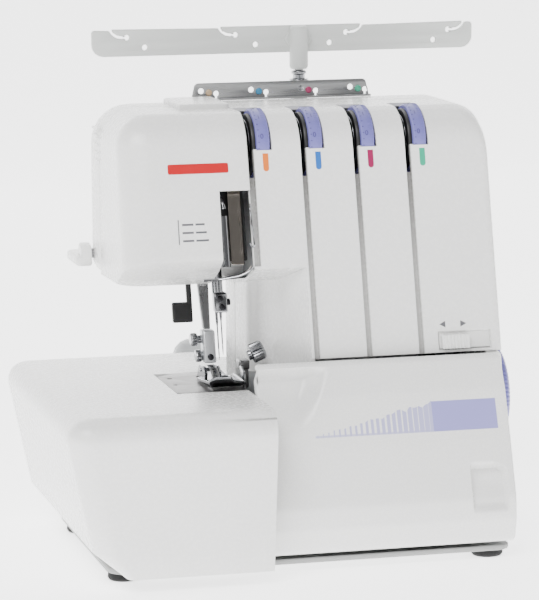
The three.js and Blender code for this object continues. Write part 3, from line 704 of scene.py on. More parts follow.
def printed_door():
    """White plastic with a lavender block at the right that breaks up into thinner bars to the left."""
    paint = Paint("door_print")
    spot, parts = paint.place()
    x = parts[0] * 1000.0 - float(NEEDLE[0])
    z = parts[2] * 1000.0 - float(NEEDLE[2])
    fine = paint.noise(spot, 900.0, 2.0)
    wave = paint.noise(spot, 55.0, 1.0)
    block = x.between(104.0, 141.5, 0.3) * z.between(72.5, 88.5, 0.3)
    share = (x - 36.0) / 68.0
    pitch = x.math("FRACT", x / 3.1)
    bar = pitch.under(share * 0.85 + 0.12, 0.12) * x.between(36.0, 104.2, 0.3)
    wobble = paint.noise(spot, 260.0, 0.0, (1, 0.01, 0.01)) * 7.0 * share
    below_line = z.math("LESS_THAN", z, 73.5 + share * 11.0 + wobble)
    tall = z.between(72.5, 74.0, 0.3) + z.over(73.0, 0.3) * below_line
    bars = bar * x.math("MINIMUM", tall, 1.0)
    line = z.between(72.5, 73.6, 0.3) * x.between(36.0, 141.0, 0.3)
    ink = x.math("MAXIMUM", x.math("MAXIMUM", block, bars * 0.75), line * 0.6)
    base = paint.mix(paint.noise(spot, 14.0, 2.0), rgba(0.805, 0.805, 0.795), rgba(0.84, 0.84, 0.83))
    return paint.finish(Base_Color=paint.mix(ink, base, rgba(0.28, 0.27, 0.58)),
                        Roughness=fine * 0.1 + 0.22 + ink * 0.1,
                        Normal=paint.bump(fine * 0.35 + wave, 0.03, 0.00012))


piece("looper_door", [shelled(resample(door_line, 1.0)[::-1], 7.2, 148.5, 1.8, 1.0, door_dent,
                              (122.6, 123.2, 123.9, 124.6, 142.4, 143.1, 143.8, 144.4), turn_in=0.6)],
      printed_door(), "looper_door", ("looper_cover",), wall=2.2, sharp=50)
for end, x0 in (("left", 8.4), ("right", 145.6)):
    edge_line = resample(door_line, 3.0)[::-1]
    depth = 1.6 + door_dent(x0 + 0.8, edge_line[:, 1], edge_line[:, 0])
    edge_line = edge_line + open_normals(edge_line) * depth[:, None]
    slab(f"looper_door_{end}_end", list(edge_line) + [(-40.5, 70), (-50, 16)],
         rim(x0, x0 + 1.6, 0.3, 1), WHITE, "looper_door", "x")
for x0 in (34.0, 108.0):
    slab(f"door_lug_{int(x0)}", arc_corners([(-78, 14.2), (-72.5, 12.8, 3.2), (-69.3, 16, 3.0),
                                             (-72.5, 19.4, 3.2), (-79, 19.4)], 5),
         rim(x0, x0 + 6, 0.5, 2), WHITE, "looper_door", "x")

# %% [markdown]
# ## The front of the upper body
# One moulding carries four thread channels side by side. Each channel runs up the leaning front, opens
# into a slot near the top and passes a window where a tension wheel stands out. A small bay at the lower
# right holds the stitch selector. The whole surface is one profile carried along x, pressed in where the
# channels are.

# %% Front housing
FIRST, PITCH, CHANNEL = 12.6, 30.4, 3.4
BODY_TOP, SPLIT, PANEL_FOOT = 247.0, 48.0, 112.0
LAST_COLUMN, END_ROUND, SHOULDER = 148.5, 5.0, 14.0
THROAT_X, THROAT_TOP = 41.5, 162.0
front_rows = np.unique(np.concatenate([np.arange(112, 228, 2.0),
                                       [113.2, 114, 122.8, 123.6, 160.8, 162, 205, 212,
                                                                  214, 225.6, 226.6, 227.2]]))


def brow(top):
    """Round brow between the leaning front and the flat top."""
    return arc_corners([(front_y(PANEL_FOOT), PANEL_FOOT), (front_y(top), top, 25.0), (SPLIT, top)], 12,
                       closed=False)[1:-1]


BROW_START = float(brow(BODY_TOP)[0, 1])


def front_line(top):
    """(y, z) points up the leaning front, round the brow and back over a top of the given height."""
    corner = brow(top)
    z = PANEL_FOOT + (front_rows - PANEL_FOOT) * (corner[0, 1] - PANEL_FOOT) / (BROW_START - PANEL_FOOT)
    up_rows = np.stack([front_y(z), z], 1)
    back_rows = np.linspace(corner[-1, 0], SPLIT, 22)[1:]
    return np.concatenate([up_rows, corner[1:], np.stack([back_rows, np.full(len(back_rows), top)], 1)])


def body_columns():
    """x of every column, how far each is drawn in at the round right end, and the top's height there."""
    xs = [12.3]
    for i in range(4):
        left = FIRST + PITCH * i
        xs += [left, left + 0.5, left + 1.7, left + CHANNEL - 0.5, left + CHANNEL, left + CHANNEL + 1.2]
        xs += [left + 14.0, left + 14.6, left + 18.0, left + 22.0, left + 26.0]
    xs += [THROAT_X, 115.4, 116.2, 145.8, 146.6, 139.5, 141.5, 143.5, 148.0, 150.0]
    xs = np.unique([x for x in xs if x <= LAST_COLUMN] + [LAST_COLUMN])
    angle = np.linspace(0, np.pi / 2, 7)[1:]
    inset = np.concatenate([np.zeros(len(xs)), END_ROUND * (1 - np.cos(angle))])
    xs = np.concatenate([xs, LAST_COLUMN + END_ROUND * np.sin(angle)])
    fall = np.clip(xs - (LAST_COLUMN + END_ROUND - SHOULDER), 0, 12.5)
    top = BODY_TOP - (SHOULDER - np.sqrt(np.maximum(SHOULDER ** 2 - fall ** 2, 0)))
    return xs, inset, top


def body_dent(x, z, y):
    """Channels 2.4 mm deep up the front and the selector's bay 3 mm deep."""
    depth = np.zeros(np.broadcast(x, z).shape)
    for i in range(4):
        left = FIRST + PITCH * i
        near_side = x - left if i else 9.0
        edge = np.clip(np.minimum(near_side, left + CHANNEL - x) / 0.5, 0, 1)
        depth = np.maximum(depth, 2.4 * edge * (y < 26))
    bay = (np.clip((x - 115.4) / 0.8, 0, 1) * np.clip((146.6 - x) / 0.8, 0, 1)
           * np.clip((z - 113.2) / 0.8, 0, 1) * np.clip((123.6 - z) / 0.8, 0, 1) * (y < 0))
    return np.maximum(depth, 3.2 * bay)


body_x, body_inset, body_top = body_columns()
front_grid = np.empty((len(front_line(BODY_TOP)), len(body_x), 3))
for column, (x, inset, top) in enumerate(zip(body_x, body_inset, body_top)):
    line = front_line(top)
    pressed = inset + body_dent(x, line[:, 1], line[:, 0])
    front_grid[:, column, 0] = x
    front_grid[:, column, 1:] = line + open_normals(line) * pressed[:, None]
print("front housing grid", front_grid.shape)


def body_faces(mid):
    """Drops the faces of the slots, of the wheel windows and of the throat at the lower left."""
    x, y, z = mid.T
    drop = (x < THROAT_X) & (z < THROAT_TOP - 0.2) & (y < 0)
    for i in range(4):
        left = FIRST + PITCH * i
        drop |= (x > left + 0.4) & (x < left + CHANNEL - 0.4) & (z > 212) & (y < 25.5)
        drop |= (x > left + 0.4) & (x < left + 14.0) & (z > 226.6) & (y < 25.5)
    return ~drop


def panel_material():
    """Gloss white, with painted shade in the four thread channels, darker towards the slots."""
    paint = Paint("panel_gloss_abs")
    spot, parts = paint.place()
    x = parts[0] * 1000.0 - float(NEEDLE[0])
    z = parts[2] * 1000.0
    fine = paint.noise(spot, 420.0, 2.0)
    wave = paint.noise(spot, 55.0, 1.0)
    # mask of the channel floors that receive the painted shade
    inside = x.between(FIRST + 0.1, FIRST + CHANNEL - 0.1, 0.3)
    for i in range(1, 4):
        left = FIRST + PITCH * i
        inside = inside + x.between(left + 0.2, left + CHANNEL - 0.2, 0.3)
    # painted shade: the channel floors are grayed, more so towards the slots, standing for the shade inside
    # the channels
    channel_painted_shade = inside * (z.over(185.0, 60.0) * 0.35 + 0.6) * z.under(233.0, 2.0)
    base = paint.mix(paint.noise(spot, 14.0, 2.0), rgba(0.805, 0.805, 0.795), rgba(0.84, 0.84, 0.83))
    # the gray colour here is the painted shade of the channels
    return paint.finish(Base_Color=paint.mix(channel_painted_shade, base, rgba(0.15, 0.146, 0.14)),
                        Roughness=fine * 0.1 + 0.22, Normal=paint.bump(fine * 0.35 + wave, 0.03, 0.00012))


piece("front_housing_shell", [front_grid], panel_material(), "machine", ("front_housing",),
      wall=2.0, sharp=30, keep=body_faces)

# %% [markdown]
# Fingers and cloth need room under the first panel, so the lower left of this moulding is drawn back: a
# wall that runs back in a soft curve from the second channel to the column, under a ceiling that falls to
# the rear.

# %% Throat wall and ceiling
throat_plan = smooth_path([(41.5, -28, 0), (38.4, -20, 0), (31.5, -6, 0), (27.6, 8, 0), (25.0, 16.4, 0),
                           (21.5, 18.3, 0), (19.6, 20.5, 0), (19.0, 26, 0), (19.0, 48, 0)], 40)[:, :2]
ceiling = np.interp(throat_plan[:, 1], [-28, -6, 30, 48], [162, 152.5, 146.4, 146])
share = np.linspace(0, 1, 13)
wall_grid = np.empty((len(share), len(throat_plan), 3))
wall_grid[..., :2] = throat_plan
wall_grid[..., 2] = 96 + share[:, None] * (ceiling - 96)
front_pull = np.clip((-8 - throat_plan[:, 1]) / 20, 0, 1) ** 2
wall_grid[..., 1] += (np.maximum(front_y(wall_grid[..., 2]), -40.6) + 28) * front_pull
roof_grid = np.empty((len(throat_plan), 9, 3))
lean_left = np.linspace(0, 1, 9)
roof_grid[..., 0] = throat_plan[:, 0][:, None] + (12.3 - throat_plan[:, 0][:, None]) * lean_left
roof_grid[..., 1] = throat_plan[:, 1][:, None]
roof_grid[..., 2] = ceiling[:, None]
slab("body_side_wall", arc_corners([(front_y(112) + 5.2, 112, 1), (front_y(235) + 5.2, 235, 20), (48, 235),
                                    (48, 112)], 8), rim(150.8, 153.45, 0.3, 2), WHITE, "machine",
                                    "x")
piece("throat_wall", [wall_grid], WHITE, "machine", wall=1.6, sharp=50)
piece("throat_ceiling", [roof_grid], WHITE, "machine", wall=1.6, sharp=50)

# %% [markdown]
# ## The rear of the upper body
# The rear moulding closes the arm and the column behind one vertical parting line. Its outline shows the
# arm at the left, the column at the right and a soft shoulder on both sides; the back edge is rounded all
# round.

# %% Rear housing
rear_outline = arc_corners([(-60, 149, 9.5), (-60, 247, 22), (153.5, 247, 14), (153.5, 8.2, 9.5),
                            (19, 8.2, 9.5), (19, 146, 5), (-20, 146, 8), (-30, 149, 5)], 7)
slab("rear_housing_shell", rear_outline,
     [(48.4, 0.8), (48.9, 0.1), (49.4, 0.0)] + rim(49.4, 80.0, 9.0, 7)[1:],
     WHITE, "machine", "y", ("rear_housing",), sharp=50)
for i in range(5):
    z = 217.0 + 4.4 * i
    path = smooth_path([(-59.6, 50.5, z), (-59.5, 58, z), (-59.4, 66, z)], 12)
    piece(f"side_louvre_{i + 1}", swept(path, 1.3, 12, 0.75), WHITE, "machine")
for i in range(7):
    z = 150.0 + 6.0 * i
    slab(f"rear_vent_{i + 1}", arc_corners([(70, z, 1.2), (112, z, 1.2), (112, z + 2.5, 1.2),
                                            (70, z + 2.5, 1.2)], 4),
         [(79.0, 0), (80.02, 0)], BLACK, "machine", "y")

# %% [markdown]
# ## The head
# The face cover wraps the needle bar: a leaning front with a crease across it, a big round at the left
# and at the top, a lip that turns back under it and a tall window at the right through which the bars are
# seen.

# %% Head cover
HEAD_LOW, HEAD_RIGHT = (-60, -34, 149), 12.0
HEAD_LIP, CREASE, WINDOW_LEFT = 166.0, 205.5, -5.5


def head_front(z):
    """Front of the head: the common leaning plane, standing 1.5 mm proud at the crease."""
    return front_y(z) - 1.5 * np.clip(1 - np.abs(z - CREASE) / 42, 0, 1)


def head_shape(points):
    """Bends a plain rounded block: leaning front, and an underside that rises from the rear to the lip."""
    out = points.copy()
    low_y, low_z = HEAD_LOW[1:]
    z_share = (points[:, 2] - low_z) / (BODY_TOP - low_z)
    back_share = (points[:, 1] - low_y) / (SPLIT - low_y)
    y_guess = -24 + back_share * 72
    lip = np.interp(y_guess, [-24, -12, 8, 48], [HEAD_LIP, 160, 150, low_z])
    out[:, 2] = lip + z_share * (BODY_TOP - lip)
    front = head_front(out[:, 2])
    out[:, 1] = front + back_share * (SPLIT - front)
    return out


window_top = HEAD_LOW[2] + (BODY_TOP - HEAD_LOW[2]) * (CREASE - HEAD_LIP) / (BODY_TOP - HEAD_LIP)
head_rows = tuple(np.arange(156, 226, 5.0)) + (window_top, window_top - 1, window_top + 1)
head_grids = rounded_box(HEAD_LOW, (HEAD_RIGHT, SPLIT, BODY_TOP), (19, 18, 3.0), (0, 0, 20), 8,
                         ((-45, -30, -15, WINDOW_LEFT, 4), (-10, 5, 20, 35), head_rows))


def head_keep(mid):
    """Opens the side and back that meet the body, and the needle window with the slot below it."""
    x, y, z = mid.T
    joined_side = (x > HEAD_RIGHT - 0.01) | (y > SPLIT - 0.01)
    window = (x > WINDOW_LEFT) & (z < window_top) & (y < -10)
    below = (x > WINDOW_LEFT) & (z < HEAD_LOW[2] + 0.01)
    return ~(joined_side | window | below)


piece("head_cover", head_grids, WHITE, "machine", ("face_cover",), wall=2.4, edge=0.4, sharp=45,
      keep=head_keep, shape=head_shape)
slab("pressure_cap_top", arc_corners([(-18, 24, 3), (11, 24, 3), (11, 69.6, 3), (-18, 69.6, 3)], 6),
     rim(247.0, 250.0, 1.2, 4), WHITE, "machine", "z", ("pressure_cap",))

# %% [markdown]
# ## The lower right: side cover, base and feet
# The side cover closes the drive below the body. Under everything lies a gray base tray on four rubber
# feet.

# %% Side cover, base and feet
slab("side_cover_shell", arc_corners([(-44, 8.4, 4), (-44, 90, 6), (-38.4, 111.4, 3), (47.8, 111.4, 2),
                                      (47.8, 8.4, 2)], 6), rim(143.6, 153.5, 4.5, 6),
     WHITE, "machine", "x", ("side_cover",))
slab("base_tray", arc_corners([(-82, -76, 12), (147, -76, 8), (147, 79, 8), (-82, 79, 12)], 8),
     [(4.4, 1.2), (4.8, 0.3), (5.4, 0.0)] + rim(5.4, 7.6, 0.8, 3)[1:], BASE_GRAY, "machine", "z",
     ("base_plate",))
for x0 in (18.0, 128.0):
    slab(f"hinge_bracket_{int(x0)}", arc_corners([(-57, 6.8), (-57, 17.5, 1), (-69, 18.4, 2),
                                                  (-72.5, 19.4, 3.2),
                                                  (-75.9, 16, 3.2), (-72.5, 12.6, 2), (-62, 14, 2),
                                                  (-62, 6.8)], 4),
         rim(x0, x0 + 4, 0.4, 2), BASE_GRAY, "machine", "x")
for i, (x, y) in enumerate([(-72, -64), (136, -64), (136, 66), (-72, 56)]):
    foot = rounded_profile([(0, 0.5), (6, 0.5), (6.4, 0), (8, 0), (9, 1.4), (8.7, 4.3), (0, 4.3)], 0.3, 2)
    piece(f"foot_{i + 1}", turned(foot, "z", (x, y, 0), 40), RUBBER, "machine",
          (f"rubber_foot_{i + 1}",))


# %% [markdown]
# ## Tension wheels
# Each thread has its own wheel, half sunk in the panel. The rim is lavender, with fine finger ribs at its
# right edge, a dark scale at its left and numerals between them; a black band stands beside it. Next to
# each wheel lie two spring discs of chromed steel between which the thread is pinched.

# %% Numerals
def numeral(name, text, size, material, body, wrap, thick=0.12):
    """A digit as a thin solid; wrap takes flat (u, v, height) points to its place on the machine."""
    curve = bpy.data.curves.new(name, "FONT")
    curve.body = text
    curve.size = size
    curve.extrude = thick
    curve.align_x, curve.align_y = "CENTER", "CENTER"
    curve.resolution_u = 4
    letter = bpy.data.objects.new(name, curve)
    scene.collection.objects.link(letter)
    graph = bpy.context.evaluated_depsgraph_get()
    mesh = bpy.data.meshes.new_from_object(letter.evaluated_get(graph))
    bpy.data.objects.remove(letter)
    flat = np.empty(len(mesh.vertices) * 3)
    mesh.vertices.foreach_get("co", flat)
    mesh.vertices.foreach_set("co", ((wrap(flat.reshape(-1, 3)) + NEEDLE) * MM).reshape(-1))
    mesh.update()
    solid = bpy.data.objects.new(name, mesh)
    scene.collection.objects.link(solid)
    mesh.materials.clear()
    mesh.materials.append(material)
    return settled(solid, body)


# %% Wheels, scales and discs
DIAL_Y, DIAL_Z, DIAL_R = 9.0, 227.4, 20.7
WHITE_INK = plastic("white_ink", (0.75, 0.76, 0.80), 0.5, 0.1)


def on_rim(x0, start, radius):
    """Wraps flat points on a wheel's rim: u along x, v round the rim upwards from an angle."""
    def wrap(points):
        angle = start - points[:, 1] / radius
        r = radius + points[:, 2]
        return np.stack([x0 + points[:, 0], DIAL_Y - r * np.cos(angle), DIAL_Z + r * np.sin(angle)], 1)
    return wrap


def ticks(name, x_low, x_high, centre, radius, count, width, material, body, first=0.0):
    """Small raised bars round a rim, all in one mesh: each bar is a four-cornered ring carried along x."""
    grids = []
    for angle in first + np.arange(count) * 2 * np.pi / count:
        half = width / radius / 2
        ring = [(radius - 0.3, angle - half), (radius + 0.05, angle - half), (radius + 0.05, angle + half),
                (radius - 0.3, angle + half), (radius - 0.3, angle - half)]
        arc = np.array([(r * np.cos(a), r * np.sin(a)) for r, a in ring]) + centre
        grid = np.empty((4, 5, 3))
        grid[:, :, 0] = np.array([x_low, x_low, x_high, x_high])[:, None]
        grid[..., 1:] = arc
        grid[0, :, 1:] = grid[3, :, 1:] = arc.mean(0)
        grids.append(grid)
    return piece(name, grids, material, body, sharp=20)


for i in range(4):
    body = f"dial_{i + 1}"
    x0 = FIRST + PITCH * i + CHANNEL + 0.4
    band = rounded_profile([(8, x0 - 0.6), (17.6, x0 - 0.6), (18.0, x0 + 1.6), (8, x0 + 1.7)], 0.2, 2)
    piece(f"wheel_{i + 1}_band", turned(band, "x", (0, DIAL_Y, DIAL_Z), 72), BLACK, body,
          (f"tension_dial_{i + 1}",))
    wheel = rounded_profile([(0, x0 + 1.5), (19.6, x0 + 1.5), (DIAL_R - 0.2, x0 + 2.1),
                             (DIAL_R - 0.1, x0 + 8.6), (DIAL_R - 1.4, x0 + 9.3), (0, x0 + 9.3)], 0.35, 3)
    piece(f"wheel_{i + 1}_rim", turned(wheel, "x", (0, DIAL_Y, DIAL_Z), 72), LAVENDER, body)
    ticks(f"wheel_{i + 1}_ribs", x0 + 6.2, x0 + 8.7, (DIAL_Y, DIAL_Z), DIAL_R, 72, 0.5, LAVENDER, body)
    ticks(f"wheel_{i + 1}_scale", x0 + 2.4, x0 + 3.3, (DIAL_Y, DIAL_Z), DIAL_R - 0.08, 36, 0.4,
          LAVENDER_DARK, body)
    for k in range(10):
        numeral(f"wheel_{i + 1}_digit_{k}", str(k), 4.0, LAVENDER_DARK, body,
                on_rim(x0 + 4.7, math.radians(36 * k + 20), DIAL_R - 0.18), 0.14)
    for k, lift in enumerate((0.0, 1.3)):
        disc = [(0, x0 - 3.2 + lift), (12, x0 - 3.2 + lift), (14.8, x0 - 2.8 + lift),
                (14.9, x0 - 2.6 + lift), (12, x0 - 2.7 + lift), (0, x0 - 2.7 + lift)]
        piece(f"wheel_{i + 1}_disc_{k + 1}", turned(disc, "x", (0, DIAL_Y, DIAL_Z), 60), CHROME, body)

# %% [markdown]
# ## Colour marks
# A coloured tab with a round foot below each wheel tells the four thread paths apart: orange, blue,
# crimson and green. They are thin printed labels that lie on the leaning panel.

# %% Panel labels
def on_panel(points):
    """Lays flat (x, height, thickness) points on the leaning panel."""
    z = points[..., 1]
    return np.stack([points[..., 0], front_y(z) - points[..., 2], z], -1)


def label(name, outline, thick, material):
    """A thin slab on the panel."""
    rings = plate(outline, [(-0.1, 0), (thick * 0.7, 0), (thick, 0.06)], "z")
    shape = on_panel(rings)
    return piece(name, [shape], material, "machine", caps=[shape[0][:-1], shape[-1][:-1]])


MARKS = (("orange", (0.72, 0.17, 0.02)), ("blue", (0.02, 0.13, 0.45)), ("crimson", (0.27, 0.012, 0.075)),
         ("green", (0.02, 0.36, 0.22)))
for i, (name, colour) in enumerate(MARKS):
    mark_paint = plastic(f"{name}_ink", colour, 0.35, 0.1, spread=0.05)
    x = 22.5 + PITCH * i
    label(f"{name}_mark", arc_corners([(x - 1.65, 215.0, 1.6), (x + 1.65, 215.0, 1.6),
                                       (x + 1.65, 224.8, 0.2),
                                       (x - 1.65, 224.8, 0.2)], 6), 0.12, mark_paint)
RED_INK = plastic("red_ink", (0.46, 0.004, 0.008), 0.4, 0.1, spread=0.05)

# %% [markdown]
# The badge on the head is a plain red bar, and a rule with three rows of short strokes below it stands
# for a printed note. Neither carries words. Two arrows above the stitch selector point at its two ends.

# %% Badge, note and arrows
def on_head(points):
    """Lays flat (x, height, thickness) points on the head's front."""
    z = points[..., 1]
    return np.stack([points[..., 0], head_front(z) - points[..., 2], z], -1)


def head_label(name, outline, thick, material):
    rings = on_head(plate(outline, [(-0.1, 0), (thick, 0), (thick + 0.03, 0.05)], "z"))
    return piece(name, [rings], material, "machine", caps=[rings[0][:-1], rings[-1][:-1]])


head_label("red_badge", arc_corners([(-34, 215.2, 0.8), (0.5, 215.2, 0.8), (0.5, 220.6, 0.8),
                                     (-34, 220.6, 0.8)], 3),
           0.1, RED_INK)
head_label("note_rule", [(-30.2, 177), (-29.6, 177), (-29.6, 190.5), (-30.2, 190.5)], 0.08, INK)
for k in range(3):
    z = 187.2 - 4.4 * k
    for j, (x, wide) in enumerate(((-27.8, 6.4), (-20.2, 5.2 + k))):
        head_label(f"note_line_{k + 1}_{j + 1}", [(x, z), (x + wide, z), (x + wide, z + 1.1), (x, z + 1.1)],
                   0.06, INK)
for name, x, way in (("left", 118.5, -1), ("right", 130.5, 1)):
    arrow = [(x + way * 2.0, 127.4), (x - way * 1.6, 129.2), (x - way * 1.6, 125.6)]
    label(f"selector_arrow_{name}", arrow[::way], 0.06, INK)

# %% Stitch selector
knob = rounded_box((117.0, -42.2, 114.2), (133.0, -36.6, 122.0), (0.6, 0.6, 0.6), None, 2,
                   (tuple(np.arange(118, 132.5, 0.4)), (), ()))


def ribbed_knob(points):
    """Seven finger ribs across the front, on a front that follows the panel's lean."""
    out = points.copy()
    out[:, 1] += (points[:, 2] - 118) * LEAN
    wave = np.clip(np.sin((points[:, 0] - 118.0) / 14.0 * 7 * 2 * np.pi), -0.6, 0.6) * 0.55
    inside = (points[:, 0] > 118) & (points[:, 0] < 132) & (points[:, 1] < -41.5)
    out[:, 1] += np.where(inside, wave + 0.35, 0)
    return out


piece("selector_knob", knob, WHITE, "selector", ("stitch_selector",), shape=ribbed_knob, sharp=35)
bay = rounded_box((116.2, -37.6, 113.9), (146.0, -36.2, 122.9), (0.2, 0.2, 0.2), None, 1, ((), (), ()))
piece("selector_track", bay, WHITE_SATIN, "machine",
      shape=lambda p: np.stack([p[:, 0], p[:, 1] + (p[:, 2] - 118) * LEAN, p[:, 2]], 1))

# %% [markdown]
# ## Bars, clamp and needles
# The needle bar and the presser bar come down side by side inside the window and lean with the panel. The
# clamp is a small chromed block with one screw per needle; the presser foot hangs on a holder with a thumb
# screw, a toe that turns up and a slot for both needles.

# %% Needle group
bar = rounded_profile([(0, 143.6), (3.15, 143.6), (3.15, 229.6), (0, 229.6)], 0.6, 3)
piece("needle_bar_rod", turned(bar, "z", (0, 0, 0), 40), CHROME, "needle_group", ("needle_bar",),
      shape=leaning)
clamp_outline = arc_corners([(-3.1, -4.6, 1.2), (4.6, -4.6, 1.2), (4.6, 3.2, 2.6), (-3.1, 3.2, 2.6)], 6)
slab("needle_clamp_block", clamp_outline,
     [(133.0, 0.8), (133.5, 0.2), (134.2, 0)] + rim(134.2, 144.0, 0.9, 3)[1:],
     CHROME, "needle_group", "z", ("needle_clamp",), shape=leaning)
for k, (x, z, node) in enumerate(((0.2, 141.0, "clamp_screw_upper"), (1.2, 136.2, "clamp_screw_lower"))):
    screw = rounded_profile([(0.5, -6.6), (1.55, -6.5), (1.75, -6.1), (1.75, -4.5), (0, -4.4)], 0.15, 2)
    screw = np.vstack([[(0, -5.9), (0.55, -5.95)], screw])
    piece(f"clamp_screw_{k + 1}", turned(screw, "y", (x, 0, z), 28), BLACK_SCREW, "needle_group",
          (node,), shape=leaning)
side_screw = rounded_profile([(0, 3.9), (1.5, 3.9), (1.9, 4.6), (1.9, 6.2), (0.8, 6.5), (0, 6.5)], 0.2, 2)
piece("clamp_side_screw", turned(side_screw, "x", (0.4, -1.0, 138.4), 24, 12, 0.08), BLACK_SCREW,
      "needle_group", shape=leaning)
for name, x, tip in (("left", -1.4, 106.0), ("right", 1.0, 108.6)):
    blade = [(0, tip), (0.10, tip + 0.6), (0.30, tip + 2.6), (0.38, tip + 4.4), (0.30, tip + 6),
             (0.42, tip + 7.4),
             (0.42, tip + 19), (0.78, tip + 21.6), (0.82, 132.0), (0.82, 133.4), (0, 133.4)]
    piece(f"{name}_needle", turned(blade, "z", (x, 0, 0), 20), CHROME, "needle_group",
          (f"needle_{name}",), shape=leaning)

# %% Presser group
PRESS_X = -8.3
rod = rounded_profile([(0, 148), (3.15, 148), (3.15, 225.8), (0, 225.8)], 0.6, 3)
piece("presser_rod", turned(rod, "z", (PRESS_X, 0, 0), 36), CHROME_WORN, "presser_group",
      ("presser_bar",), shape=leaning)
shank = arc_corners([(-11.6, 151, 1), (-5.4, 151, 1), (-5.9, 124, 0.6), (-9.9, 124, 0.6)], 4)
slab("presser_shank", shank, [(2.2, 0.5), (1.8, 0.05), (1.5, 0)] + rim(1.5, -2.2, 0.6, 3)[1:], CHROME_WORN,
     "presser_group", "y", shape=leaning)
holder = arc_corners([(-11.1, -4.0, 1.4), (-3.8, -4.0, 1.4), (-3.8, 4.0, 1.4), (-11.1, 4.0, 1.4)], 5)
slab("foot_holder_block", holder, [(105.6, 0.7), (106.0, 0.15), (106.6, 0)] + rim(106.6, 123.4, 0.9, 3)[1:],
     metal("sand_blasted_chrome", (0.60, 0.61, 0.63), 0.42, (1, 1, 1), 900.0, 0.1, 0.2), "presser_group",
     "z", ("foot_holder",), shape=leaning)
thumb = rounded_profile([(0, -17.6), (2.9, -17.6), (3.5, -16.8), (3.5, -14.0), (2.2, -13.4), (2.2, -10.9),
                         (0, -10.9)], 0.4, 3)
piece("thumb_screw", turned(thumb, "x", (0, 0, 118.4), 120, 24, 0.06), CHROME, "presser_group",
      ("foot_thumb_screw",), shape=leaning)
pin = rounded_profile([(0, -15.2), (3.2, -15.2), (3.4, -14.6), (3.4, -12.2), (2.4, -11.7), (2.4, -10.9),
                       (0, -10.9)],
                      0.3, 2)
piece("foot_pin_head", turned(pin, "x", (0, 0, 109.3), 40), CHROME, "presser_group", shape=leaning)
button = rounded_profile([(0, -5.4), (1.5, -5.3), (1.8, -4.8), (1.8, -3.6), (0, -3.6)], 0.15, 2)
piece("holder_screw", turned(button, "y", (-7.3, 0, 109.0), 24), BLACK_SCREW, "presser_group",
      shape=leaning)


# %% Pierced sheet
def pierced(name, outer, holes, thick, material, body, facing="z", stands_for=(), soft=0.15,
            shape=None, at=0.0):
    """A flat sheet with holes: Blender fills the outlines, gives them thickness and a small rounded rim."""
    curve = bpy.data.curves.new(name, "CURVE")
    curve.dimensions = "2D"
    curve.fill_mode = "BOTH"
    curve.extrude = thick / 2 - soft
    curve.bevel_depth = soft
    curve.bevel_resolution = 2
    for k, outline in enumerate([outer] + list(holes)):
        outline = np.array(outline, float)
        outline = outline - outline_normals(outline) * (soft if k == 0 else -soft)
        spline = curve.splines.new("POLY")
        spline.points.add(len(outline) - 1)
        flat = np.concatenate([outline, np.zeros((len(outline), 1)), np.ones((len(outline), 1))], 1)
        spline.points.foreach_set("co", flat.reshape(-1))
        spline.use_cyclic_u = True
    made = bpy.data.objects.new(name + "_outline", curve)
    scene.collection.objects.link(made)
    graph = bpy.context.evaluated_depsgraph_get()
    mesh = bpy.data.meshes.new_from_object(made.evaluated_get(graph))
    bpy.data.objects.remove(made)
    flat = np.empty(len(mesh.vertices) * 3)
    mesh.vertices.foreach_get("co", flat)
    u, v, h = flat.reshape(-1, 3).T
    order = {"z": (u, v, h + at), "y": (u, at - h, v), "x": (h + at, u, v)}[facing]
    points = np.stack(order, 1)
    if shape is not None:
        points = shape(points)
    mesh.vertices.foreach_set("co", ((points + NEEDLE) * MM).reshape(-1))
    mesh.update()
    joiner = bpy.data.objects.new(name, mesh)
    scene.collection.objects.link(joiner)
    mesh.materials.clear()
    mesh.materials.append(material)
    weld = joiner.modifiers.new("weld", "WELD")
    weld.merge_threshold = 0.000004
    return settled(joiner, body, stands_for)


def circle(x, y, radius, count=20):
    angle = np.linspace(0, 2 * np.pi, count, endpoint=False)
    return np.stack([x + radius * np.cos(angle), y + radius * np.sin(angle)], 1)


def slot_hole(x0, x1, y0, y1, radius=0.8):
    return arc_corners([(x0, y0, radius), (x1, y0, radius), (x1, y1, radius), (x0, y1, radius)], 4)


def foot_curve(points):
    """Turns the toe of the foot up and bends its heel slightly."""
    out = points.copy()
    toe = np.clip(-22 - points[:, 1], 0, 12)
    out[:, 2] += toe ** 2 / 18 + np.clip(points[:, 1] - 12, 0, 6) ** 2 / 16
    return out


pierced("presser_sole", arc_corners([(-15, -32.5, 3.5), (-2.5, -32.5, 2), (-1.5, -30, 1), (7.4, -28, 4),
                                     (7.4, 1, 2), (3.2, 4, 1), (3.2, 16, 1.5), (-12, 16, 2), (-12, 4, 1),
                                     (-15, 1, 2)], 5),
        [slot_hole(-3.2, 3.2, -6.4, 3.6), slot_hole(-13.2, -11.4, -24, -9)], 1.6, CHROME, "presser_group",
        "z", ("presser_foot",), 0.3, foot_curve, 96.6)
ankle = arc_corners([(-7.5, 96.8), (-8.8, 101.4, 1.5), (-3, 104.2, 1), (5.6, 104.2, 1), (9, 101, 2),
                     (11, 96.8)], 4)
for k, x0 in enumerate((-12.6, -4.6)):
    slab(f"foot_cheek_{k + 1}", ankle, [(x0, 0.25), (x0 + 0.3, 0)] + rim(x0 + 0.3, x0 + 1.8, 0.3, 2)[1:],
         CHROME, "presser_group", "x")
cross = rounded_profile([(0, -13.2), (1.1, -13.2), (1.1, -3.9), (0, -3.9)], 0.2, 2)
piece("foot_cross_pin", turned(cross, "x", (0, 1.5, 101.6), 20), CHROME, "presser_group")
spring = smooth_path([(-7.6, -2, 104.5), (-7.6, -9, 103.6), (-7.6, -16, 99.6), (-7.4, -22, 98.4)], 24)
piece("foot_spring", swept(spring, 2.4, 16, 0.2), CHROME_WORN, "presser_group")
rail = smooth_path([(5.6, -26, 98.4), (5.9, -18, 98.2), (6.2, -8, 98.1), (6.2, 0, 98.0)], 20)
